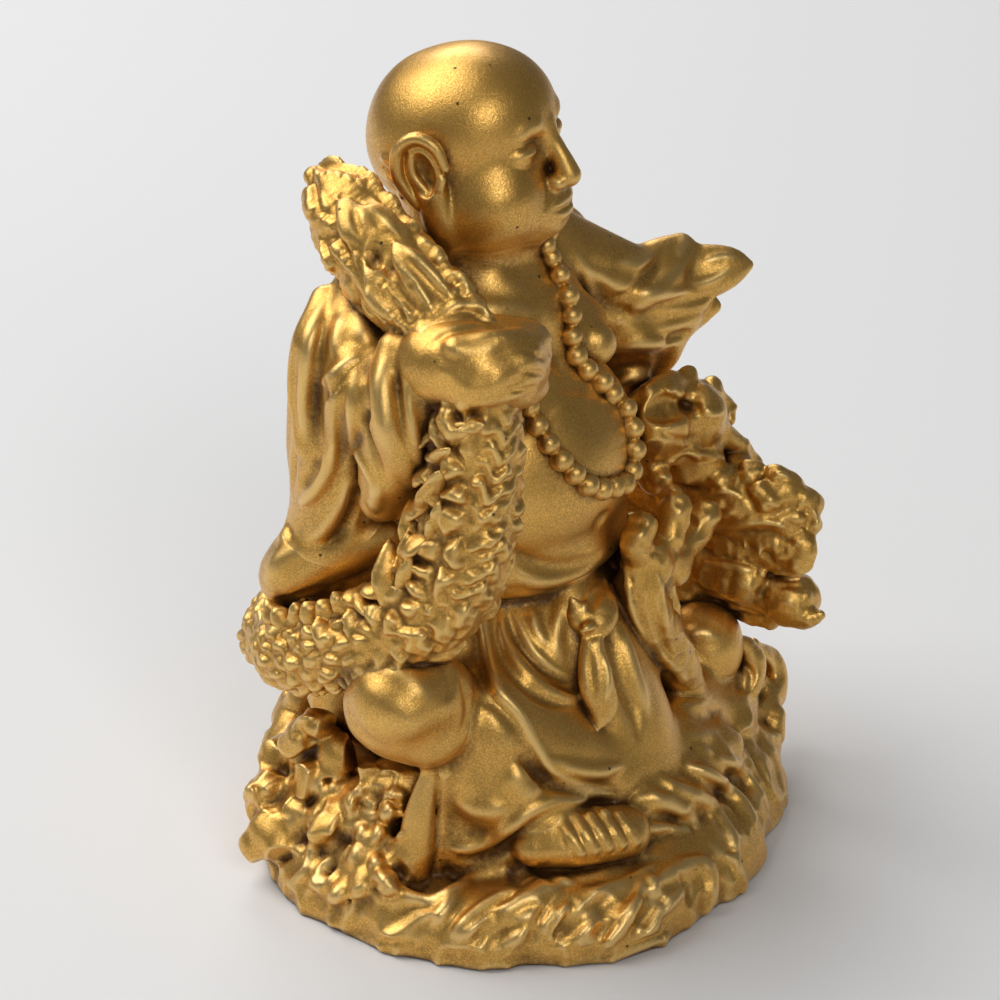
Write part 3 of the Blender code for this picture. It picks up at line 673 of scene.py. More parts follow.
def make_head():
    c = Clay((-9.5, -6.5, 44.8), (10.5, 13.5, 63.6), H_FINE)
    P = head_point

    def ball(x, y, z, r, k=0.8, cut=False, turn=(0, 0, 0)):
        c.ball(P(x, y, z), r, HEAD_TURN @ turned(turn), k, cut)

    ball(0, 0.4, 0.7, (6.2, 6.85, 6.45), 1.0)
    ball(0, -1.6, 2.6, (5.2, 4.9, 4.2), 1.6)
    for s in (-1, 1):
        ball(s * 3.1, -3.3, -2.7, (2.9, 2.9, 2.6), 1.6)
        ball(s * 4.3, -0.6, -4.0, (2.4, 3.6, 2.8), 1.8)
    ball(0, -2.6, -4.4, (4.9, 4.2, 2.9), 1.6)
    ball(0, -5.3, -5.7, (1.7, 1.4, 1.15), 1.1)
    ball(0, -1.2, -6.0, (4.9, 4.1, 2.0), 1.0)
    ball(0, 1.6, -6.0, (4.4, 4.2, 3.2), 1.6)
    ball(0, -5.6, -4.2, (2.3, 1.3, 1.5), 1.2)
    # brow, sockets and lids
    for s in (-1, 1):
        ball(s * 2.5, -6.75, 0.25, (1.75, 1.0, 0.95), 0.8, cut=True)
        ball(s * 2.5, -4.95, 0.2, (1.55, 1.35, 1.05), 0.25)
        c.stroke([(s * 1.0, 1.45), (s * 2.3, 2.15), (s * 4.1, 1.55)], 0.55, 0.26, HEAD_VIEW, (0.3, 0.4))
        c.stroke([(s * 1.2, 0.05), (s * 2.4, -0.16), (s * 3.8, 0.08)], 0.17, -0.26, HEAD_VIEW, (0.15, 0.2))
        c.stroke([(s * 1.25, 0.75), (s * 2.4, 1.05), (s * 3.8, 0.65)], 0.18, -0.14, HEAD_VIEW, (0.2, 0.3))
        c.stroke([(s * 1.5, -0.75), (s * 2.5, -1.0), (s * 3.6, -0.65)], 0.22, -0.1, HEAD_VIEW, (0.3, 0.3))
    # nose
    c.limb([P(0, -6.3, 1.5), P(0, -6.75, 0.2), P(0, -7.25, -1.2), P(0, -7.55, -2.3)], [0.5, 0.55, 0.72, 0.88], 0.7)
    for s in (-1, 1):
        ball(s * 0.85, -6.85, -2.6, (0.62, 0.75, 0.55), 0.35)
        ball(s * 0.45, -7.35, -3.2, (0.22, 0.3, 0.22), 0.1, cut=True)
        c.stroke([(s * 1.45, -2.5), (s * 2.3, -3.5), (s * 2.7, -4.5)], 0.34, -0.13, HEAD_VIEW)
    # closed, calm mouth
    c.stroke([(-1.75, -4.25), (-0.5, -4.12), (0, -4.22), (0.5, -4.12), (1.75, -4.25)], 0.34, 0.26, HEAD_VIEW, (0.3, 0.3))
    c.stroke([(-1.3, -4.95), (0, -5.12), (1.3, -4.95)], 0.4, 0.3, HEAD_VIEW, (0.3, 0.3))
    c.stroke([(-2.0, -4.4), (-0.7, -4.6), (0, -4.56), (0.7, -4.6), (2.0, -4.4)], 0.15, -0.34, HEAD_VIEW, (0.2, 0.2))
    c.stroke([(-1.0, -5.6), (0, -5.75), (1.0, -5.6)], 0.3, -0.14, HEAD_VIEW)
    # ears with long lobes
    for s, view in ((-1, HEAD_RIGHT), (1, HEAD_LEFT)):
        m = -s
        c.ball(P(s * 6.2, 0.7, 0.4), (0.95, 1.75, 2.5), HEAD_TURN @ turned((-8, 0, s * 16)), 0.3)
        c.limb([P(s * 6.6, 0.1, -1.4), P(s * 6.5, 0.0, -3.4), P(s * 5.9, -0.5, -5.2)], [1.05, 1.15, 1.0], 0.45, flat=(HEAD_TURN[:, 0], 0.75))
        c.limb([P(s * 6.65, -1.15, 0.6), P(s * 6.75, -0.7, 2.2), P(s * 6.8, 0.7, 2.85), P(s * 6.95, 2.1, 2.0), P(s * 6.95, 2.4, 0.3),
                P(s * 6.85, 1.8, -1.3), P(s * 6.75, 1.1, -2.4)], [0.35, 0.45, 0.5, 0.52, 0.48, 0.42, 0.3], 0.16)
        c.ball(P(s * 7.15, 0.4, 0.2), (0.85, 0.95, 1.6), HEAD_TURN @ turned((-8, 0, 0)), 0.25, cut=True)
        c.limb([P(s * 6.65, 1.2, 1.9), P(s * 6.75, 1.3, 0.2), P(s * 6.7, 0.5, -1.2)], [0.25, 0.32, 0.3], 0.2)
        c.limb([P(s * 6.8, -0.9, -0.2), P(s * 6.9, -0.7, -0.8)], [0.32, 0.3], 0.2)
    # neck creases and the rough patch of casting behind the right ear
    c.stroke([(-4.2, -6.3), (-2.0, -7.2), (0, -7.5), (2.0, -7.2), (4.2, -6.3)], 0.35, -0.2, HEAD_VIEW)
    for i in range(26):
        a, b, d = hashed(i, 1.0), hashed(i, 2.0), hashed(i, 3.0)
        c.ball_field(P(-5.6 + 0.5 * d, 3.2 + 1.6 * a, -2.6 + 3.4 * b), 0.24 + 0.16 * d, 0.3 * (1 if i % 3 else -1))
    c.rough(2.6, 0.05, 5)
    return c


def make_torso():
    c = Clay((-14, -11, 18.5), (14, 13.5, 50.5))
    c.gain = 1.25
    c.ball((0, 1.3, 31), (10.5, 10.2, 9.4), k=2.0)
    c.ball((0.3, 1.6, 25.2), (9.9, 9.7, 5.0), k=1.1)
    c.ball((0, 3.6, 40.2), (9.2, 7.6, 7.6), k=2.2)
    c.ball((-4.2, -1.6, 40.3), (3.9, 2.6, 3.0), k=1.3)
    c.ball((4.6, -1.9, 39.6), (3.5, 2.5, 2.8), (0, 0, 14), k=0.9)
    c.ball(c.near((7.18, 11.43), 0.3), (1.5, 1.3, 1.6), k=0.5)
    c.ball((-4.6, -4.1, 39.8), (0.5, 0.5, 0.5), k=0.5)
    c.limb([(-9.6, 4.2, 43.2), (0, 4.4, 45.8), (9.6, 4.2, 43.2)], [3.2, 4.2, 3.2], 1.6)
    c.limb([(0, 3.8, 43.5), (0.4, 3.4, 48.6)], [4.9, 4.4], 1.6)
    # the belly's lower roll and the creases under the chest
    c.strokes([
        ([(0, -2.64), (1.1, -3.88), (2.79, -4.84), (4.76, -4.98), (6.74, -4.4), (7.77, -3.3)], 0.62, -0.42),
        ([(0.37, -4.54), (2.2, -5.86), (4.4, -6.23), (6.6, -5.42), (7.62, -4.54)], 0.9, 0.3),
        ([(3.81, 7.92), (5.5, 8.21), (7.33, 7.55)], 0.5, -0.18),
        ([(3.3, 14.66), (3.52, 12.46), (4.1, 10.12), (5.28, 8.5)], 0.6, -0.14),
        ([(6.6, 9.24), (7.77, 9.68), (8.5, 11)], 0.5, -0.25),
        ([(-1.47, 17.45), (0.73, 15.76), (2.57, 15.39)], 0.9, 0.16),
    ])
    c.strokes([
        ([(-7.5, 24.6), (-3.5, 23.4), (0, 23.2), (3.5, 23.4), (7.5, 24.6)], 0.55, -0.3),
        ([(-7.4, 37.6), (-4.2, 36.7), (-1.2, 37.6)], 0.6, -0.3),
        ([(7.4, 37.2), (4.4, 36.3), (1.2, 37.4)], 0.6, -0.3),
        ([(-0.1, 43.0), (0.1, 38.4)], 0.7, -0.16),
        ([(-5.4, 44.8), (-2.4, 44.2), (-0.8, 43.4)], 0.6, 0.2),
        ([(5.4, 44.8), (2.4, 44.2), (0.8, 43.4)], 0.6, 0.2),
    ], FRONT)
    c.dab((0.2, 28.2), 0.55, -0.6, FRONT)
    c.rough(3.4, 0.09, 7)
    return c


def make_right_hand():
    c = Clay((-17.5, -12.5, 39.0), (-4.5, 1.5, 49.5), H_FINE)
    c.ball((-11.0, -6.3, 44.2), (3.5, 4.2, 3.0), (0, 0, -50), k=0.8)
    c.box((-10.2, -7.2, 44.0), (2.9, 2.7, 2.5), (8, 0, -48), 1.3, k=1.4)
    c.ball((-9.2, -7.8, 43.6), (2.5, 2.4, 2.6), k=1.3)
    c.ball((-12.6, -4.2, 44.2), (2.9, 3.3, 3.1), k=1.5)
    # four fingers closing round the dragon, and the thumb
    for i in range(4):
        z = 45.6 - 1.22 * i
        c.limb([(-9.2, -9.3, z), (-7.4, -8.6, z - 0.15), (-6.6, -6.6, z - 0.25), (-7.2, -5.0, z - 0.2)], [0.95, 0.92, 0.8, 0.7], 0.42)
    c.limb([(-13.6, -6.6, 46.3), (-11.6, -8.4, 46.6), (-9.6, -8.8, 46.4)], [0.95, 0.95, 0.75], 0.5)
    c.strokes([
        ([(-5.28, 11), (-4.4, 11.87), (-2.79, 12.46), (-0.59, 12.9)], 0.35, -0.2),
        ([(0, 8.21), (1.47, 8.8), (2.49, 10.12)], 0.3, -0.16),
        ([(-4.4, 7.18), (-1.83, 7.04), (0.73, 7.55), (2.49, 8.5)], 0.5, 0.18),
    ])
    c.strokes([
        ([(1.32, 11), (2.35, 10.78), (3.3, 10.26)], 0.22, -0.28),
        ([(1.03, 9.53), (2.27, 9.38), (3.37, 9.24)], 0.22, -0.28),
        ([(0.37, 7.99), (1.69, 8.06), (2.93, 8.36)], 0.2, -0.24),
        ([(-4.4, 11.36), (-2.79, 10.85), (-1.03, 11), (0.44, 11.58)], 0.6, 0.16),
        ([(-3.52, 9.38), (-1.47, 8.8), (0, 9.24)], 0.7, -0.16),
    ])
    c.rough(2.2, 0.18, 8)
    c.rough(1.2, 0.07, 9)
    return c


def make_left_hand():
    c = Clay((11.0, -9.6, 33.5), (24.0, 3.0, 44.5), H_FINE)
    c.gain = 1.5
    # the pointed folds at the end of the raised sleeve
    for run, rad in (
        (((13.8, -1.6, 39.0), at_x((13.93, 16.42), 17.4), at_x((16.27, 17.01), 19.4), at_x((18.18, 17.23), 20.8)), (2.0, 2.2, 1.7, 0.5)),
        (((14.4, -2.4, 38.4), at_x((13.34, 14.44), 17.2), at_x((14.66, 14.37), 18.2), at_x((15.69, 14.22), 18.8)), (1.7, 1.5, 1.2, 0.6)),
    ):
        c.limb([np.array(p) for p in run], rad, 0.7, flat=(MAIN.back, 0.55))
    c.strokes([
        ([(10.26, 15.25), (13.19, 15.61), (15.54, 16.13), (17.23, 17.3)], 0.35, 0.3),
        ([(11.36, 14.66), (13.93, 14.66), (16.13, 15.25)], 0.35, -0.25),
        ([(14.66, 17.45), (16.49, 17.89), (17.74, 17.74)], 0.35, 0.18),
    ])
    c.rough(1.6, 0.06, 11)
    return c


def make_left_sleeve():
    c = Clay((4.5, -9.5, 28.0), (24.0, 9.0, 48.0))
    c.gain = 1.7
    c.limb([(7.0, 2.4, 44.2), (10.4, 0.6, 42.4), (14.6, -1.6, 39.4)], [3.2, 2.5, 2.2], 1.2)
    c.limb([np.array((9.0, 1.0, 42.6)), at_x((9.68, 16.13), 12.6), at_x((11.73, 17.45), 15.4), at_x((13.34, 18.62), 17.6)], [2.6, 2.3, 1.9, 1.1], 0.9, flat=(MAIN.back, 0.6))
    c.limb([np.array((12.0, -0.6, 39.0)), at_x((11, 13.19), 14.6), at_x((12.9, 13.34), 16.6), at_x((14.22, 13.63), 17.8)], [2.4, 2.1, 1.7, 1.1], 0.8, flat=(MAIN.back, 0.65))
    c.limb([(13.0, -0.8, 39.0), (15.6, -2.4, 38.6), (17.0, -3.4, 38.2)], [2.7, 2.1, 1.3], 1.0, flat=((0.5, 0.3, 0.8), 0.75))
    c.limb([(14.0, -1.2, 37.6), (15.6, -2.6, 36.8), (16.4, -3.4, 36.6)], [1.9, 1.5, 0.9], 0.8)
    c.limb([(11.8, 0.0, 40.0), (13.0, -0.9, 36.4), (12.6, -0.7, 32.4)], [2.8, 2.3, 1.7], 1.2)
    c.limb([(14.2, -1.4, 38.2), (15.4, -2.2, 35.2), (14.8, -2.0, 33.0)], [1.8, 1.5, 0.8], 0.8)
    c.ball((10.6, 2.6, 38.6), (2.9, 3.8, 5.4), k=1.4)
    c.strokes([
        ([(5.35, 18.47), (6.23, 16.86), (6.74, 14.66), (8.21, 13.19)], 0.5, 0.34),
        ([(4.84, 17.45), (5.72, 15.76), (6.16, 13.93)], 0.4, -0.3),
        ([(8.06, 12.46), (10.26, 14.29), (12.31, 16.13), (13.93, 17.96), (13.93, 19.35)], 0.55, 0.4),
        ([(7.33, 14.29), (9.68, 15.39), (11.36, 17.23), (12.31, 18.69)], 0.5, -0.3),
        ([(9.38, 12.83), (11.73, 14.07), (14.66, 14.66), (16.27, 14.95)], 0.45, -0.38),
        ([(8.21, 17.45), (10.26, 17.45), (11.87, 18.32)], 0.5, 0.24),
        ([(11, 12.46), (13.19, 13.05), (15.54, 13.63)], 0.5, 0.3),
        ([(11.36, 11.36), (12.83, 12.02), (14.22, 12.31)], 0.35, -0.32),
        ([(8.21, 11), (10.26, 11.73), (12.31, 10.85)], 0.6, 0.3),
        ([(7.77, 8.94), (9.16, 9.68), (11.36, 9.82)], 0.32, -0.32),
        ([(8.06, 7.92), (9.53, 8.8), (11.14, 8.94)], 0.45, 0.25),
        ([(12.9, 17.45), (13.49, 18.76), (13.78, 19.64)], 0.4, 0.2),
    ])
    c.strokes([
        ([(6.5, 44.0), (11.0, 41.0), (16.0, 39.6)], 0.6, 0.32),
        ([(7.0, 41.5), (11.5, 38.6), (16.5, 37.4)], 0.6, -0.34),
        ([(8.5, 36.0), (12.0, 36.4), (16.0, 35.2)], 0.6, 0.3),
    ], FRONT)
    c.strokes([
        ([(-18.0, 40.6), (-13.0, 41.0), (-8.0, 43.6)], 0.6, 0.35),
        ([(-17.5, 38.6), (-12.5, 38.8), (-8.0, 41.0)], 0.6, -0.35),
        ([(-16.5, 36.4), (-12.5, 36.4), (-9.0, 38.0)], 0.6, 0.32),
        ([(-14.0, 33.0), (-11.5, 34.6), (-9.5, 36.0)], 0.6, -0.3),
    ], BACK)
    c.rough(2.4, 0.08, 13)
    return c


def make_right_sleeve():
    c = Clay((-20.0, -7.5, 20.5), (-3.5, 15.0, 51.5))
    c.gain = 1.8
    c.limb([(-8.2, 5.4, 45.4), (-11.4, 4.0, 42.2), (-13.2, 0.4, 40.6)], [3.2, 3.7, 3.2], 1.6)
    c.limb([(-11.4, 4.4, 41.4), (-12.0, 5.6, 34.8), (-11.4, 6.8, 27.6)], [3.7, 3.5, 3.2], 1.6)
    c.limb([(-11.0, 7.6, 37.6), (-11.2, 8.0, 28.4)], [2.5, 2.3], 1.4)
    # the wide cuff hanging from the wrist
    c.limb([(-12.6, -2.8, 43.8), (-13.6, -2.2, 40.2), (-13.8, -1.0, 36.4), (-13.4, 0.6, 32.4)], [2.3, 2.7, 2.5, 1.8], 0.6)
    c.limb([(-11.6, -4.6, 42.6), (-12.4, -4.0, 39.0), (-12.8, -2.6, 35.4), (-12.8, -0.8, 31.6)], [1.1, 1.2, 1.1, 0.8], 0.25)
    for run, rad in (
        (((-7.48, 11), (-8.06, 8.43), (-7.77, 5.86), (-6.89, 3.3), (-5.86, 1.32)), (1.5, 1.75, 1.75, 1.5, 1.0)),
        (((-10.85, 10.12), (-11.29, 7.33), (-11.29, 4.03), (-10.56, 0.73)), (1.2, 1.5, 1.5, 1.2)),
        (((-12.75, 14.66), (-13.78, 11.36), (-14.22, 7.7), (-14.07, 4.03)), (1.2, 1.5, 1.4, 1.0)),
    ):
        spots = [c.near(uv, 0.75) for uv in run]
        c.limb([p for p in spots if p is not None], [r for p, r in zip(spots, rad) if p is not None], 0.45, flat=(MAIN.back, 0.8))
    c.strokes([
        ([(-6.67, 11), (-6.82, 8.43), (-6.52, 5.86), (-6.01, 3.52), (-5.28, 2.05)], 0.34, 0.34, {"ends": (0.1, 0.2)}),
        ([(-7.33, 10.85), (-7.48, 8.06), (-7.18, 5.5), (-6.6, 3.3)], 0.3, -0.3),
        ([(-9.38, 10.85), (-9.82, 8.8), (-9.68, 5.86), (-9.09, 2.93), (-8.06, 0.73)], 0.34, -0.5),
        ([(-8.36, 11), (-8.8, 8.43), (-8.58, 5.5), (-7.92, 2.93)], 0.7, 0.3),
        ([(-10.41, 10.85), (-10.7, 8.43), (-10.85, 5.86), (-10.26, 3.3), (-8.94, 0)], 0.5, 0.42),
        ([(-11.14, 9.38), (-11.73, 6.96), (-11.58, 4.03), (-11.87, 1.47)], 0.4, -0.42),
        ([(-13.34, 8.21), (-12.46, 9.09), (-11.36, 9.97), (-10.12, 10.7)], 0.34, 0.42),
        ([(-13.05, 7.48), (-12.02, 8.36), (-11, 9.24)], 0.3, -0.3),
        ([(-12.46, 15.39), (-13.63, 12.83), (-14.15, 9.9), (-14.44, 6.6), (-14.07, 3.67)], 0.55, 0.42),
        ([(-11.87, 14.66), (-13.05, 11.73), (-13.49, 8.8), (-13.71, 5.5), (-13.34, 2.93)], 0.6, -0.36),
        ([(-14.95, 11.36), (-15.25, 8.43), (-15.17, 5.5), (-14.66, 3.67)], 0.5, -0.3),
        ([(-12.09, 4.4), (-12.75, 2.2), (-13.93, 0.37), (-14.95, -0.37)], 0.5, 0.4),
        ([(-13.05, 3.67), (-13.78, 1.83), (-14.66, 0.88)], 0.4, -0.36),
        ([(-11, 2.2), (-11.58, 0), (-13.05, -2.2), (-14.95, -3.52)], 0.55, 0.42),
        ([(-10.26, 1.47), (-10.85, -0.88), (-12.17, -2.93), (-13.78, -4.1)], 0.42, -0.4),
        ([(-8.94, 1.47), (-9.38, -1.1), (-9.82, -3.3)], 0.5, 0.34),
        ([(-9.82, 14.66), (-10.12, 12.83), (-9.82, 11.14)], 0.8, 0.35),
        ([(-11.36, 13.93), (-12.02, 11.73), (-12.17, 10.26)], 0.7, 0.22),
    ])
    c.strokes([
        ([(12.5, 42.5), (12.8, 36.0), (12.6, 29.5)], 0.7, 0.4),
        ([(10.6, 42.0), (10.4, 36.0), (10.8, 29.0)], 0.6, -0.42),
        ([(8.6, 43.0), (8.6, 37.0), (9.2, 30.0)], 0.7, 0.35),
        ([(14.4, 40.5), (14.8, 35.0), (14.4, 30.0)], 0.5, -0.35),
    ], BACK)
    c.rough(2.4, 0.08, 15)
    return c


def make_robe_back():
    c = Clay((-19.0, -1.5, 14.5), (14.5, 18.5, 50.0), H * 1.12)
    c.gain = 1.4
    c.ball((0, 7.2, 40.2), (10.6, 5.2, 7.6), k=1.6)
    c.ball((-0.8, 7.8, 31.0), (11.6, 6.4, 10.6), k=2.0)
    c.ball((-1.2, 8.0, 23.4), (11.9, 6.9, 6.8), k=2.0)
    # the rolled hem that swings out over the dragon
    c.limb([(-9.4, 6.2, 29.4), (-12.0, 8.0, 26.4), (-13.9, 9.6, 23.6), (-13.4, 10.4, 21.6)], [2.8, 2.4, 2.0, 1.4], 1.0)
    c.limb([(-10.2, 2.4, 27.6), (-12.6, 5.4, 26.2), (-14.2, 8.4, 24.0)], [1.7, 1.9, 1.8], 0.8)
    c.limb([at_x((-11, -7.33), -13.2), at_x((-13.34, -7.77), -14.2), at_x((-15.54, -8.21), -15.0)], [1.3, 1.7, 1.3], 0.4, cut=True)
    c.strokes([
        ([(-17.45, -6.6), (-16.13, -4.4), (-13.93, -3.3), (-11.36, -2.2), (-9.16, -1.47)], 0.8, 0.4),
        ([(-14.66, -3.52), (-12.46, -2.57), (-10.56, -1.47), (-9.38, 0)], 0.5, -0.4),
        ([(-17.96, -8.65), (-16.13, -7.33), (-13.93, -6.6), (-12.09, -5.86)], 0.6, 0.35),
        ([(-15.76, 0), (-15.91, -1.83), (-15.69, -3.3)], 0.6, 0.3),
        ([(-14.95, -0.37), (-15.25, -1.83), (-14.95, -2.93)], 0.4, -0.3),
    ])
    folds = []
    for i in range(9):
        x = -9.5 + 2.4 * i
        bow = 1.6 * math.sin(i * 1.7)
        folds.append(([(x * 0.7, 45.0), (x * 0.9 + 0.3 * bow, 38.0), (x + bow * 0.5, 29.0), (x * 1.12 + bow * 0.3, 19.5)], 0.75, 0.5 if i % 2 else -0.48, {"ends": (0.25, 0.12)}))
    c.strokes(folds, BACK)
    c.strokes([
        ([(-9.5, 44.5), (-3.5, 42.4), (2.5, 42.2), (9.0, 44.4)], 0.7, 0.45),
        ([(-9.0, 42.2), (-3.5, 40.2), (2.5, 40.2), (8.6, 42.4)], 0.6, -0.4),
    ], BACK)
    c.strokes([
        ([(-11.0, 20.4), (-4.0, 19.0), (4.0, 19.0), (11.0, 20.6)], 0.7, 0.5),
    ], BACK)
    c.rough(3.0, 0.1, 17)
    return c


def make_right_knee():
    c = Clay((-22.0, -10.5, 11.0), (-7.0, 4.0, 24.0))
    c.gain = 1.3
    c.ball((-16.0, -3.3, 18.9), (3.9, 4.2, 3.9), (0, 0, -40), k=0.8)
    c.ball((-14.1, -4.4, 18.3), (3.0, 3.3, 3.2), k=1.5)
    c.ball((-14.6, -4.2, 16.0), (3.2, 3.5, 2.6), k=1.3)
    c.ball((-17.2, -2.6, 17.4), (2.4, 3.0, 2.6), k=1.2)
    c.strokes([
        ([(-11, -13.93), (-11, -15.54), (-10.12, -17.23), (-8.43, -18.32)], 0.7, -0.16),
        ([(-9.38, -12.31), (-7.33, -12.61), (-5.57, -13.93), (-5.13, -15.54)], 0.9, 0.2),
        ([(-4.4, -11.73), (-3.81, -13.34), (-4.1, -15.25)], 0.5, -0.16),
        ([(-3.3, -12.61), (-2.49, -13.93), (-2.35, -15.76), (-3.08, -17.96)], 0.45, -0.22),
    ])
    c.rough(2.6, 0.2, 18)
    c.rough(1.5, 0.06, 19)
    return c


def make_left_knee():
    c = Clay((9.0, -12.5, 4.5), (20.5, -0.5, 17.5))
    c.gain = 1.3
    c.ball((14.6, -6.7, 11.2), (3.2, 3.4, 3.9), k=0.8)
    c.limb([(14.6, -6.2, 8.4), (15.0, -6.6, 6.0)], [2.6, 2.3], 0.9)
    c.stroke([(13.19, -10.26), (14.66, -9.68), (16.27, -10.26)], 0.5, 0.25)
    c.stroke([(13.78, -13.93), (15.1, -14.37), (16.27, -13.93)], 0.4, -0.3)
    c.rough(1.6, 0.1, 21)
    return c


def make_right_foot():
    c = Clay((-14.5, -20.5, 2.0), (1.5, -7.5, 12.5), H_FINE)
    c.limb([(-10.4, -11.4, 7.0), (-8.2, -13.4, 7.3), (-5.2, -14.9, 7.0)], [1.9, 2.4, 2.2], 0.9, flat=((0, 0, 1), 0.85))
    # toes side by side, curled over the front
    for i in range(5):
        run = [c.near(uv, 0.3) for uv in ((4.5 + 1.05 * i, -23.6 + 0.1 * i), (5.2 + 1.03 * i, -24.7 + 0.12 * i), (5.9 + 1.0 * i, -25.8 + 0.2 * i))]
        if all(p is not None for p in run):
            c.limb(run, [0.5, 0.6, 0.52], 0.12)
    c.strokes([
        ([(1.47, -24.78), (3.67, -22.87), (6.23, -22.43), (8.43, -23.09)], 0.4, 0.28),
    ])
    c.rough(1.5, 0.08, 23)
    return c


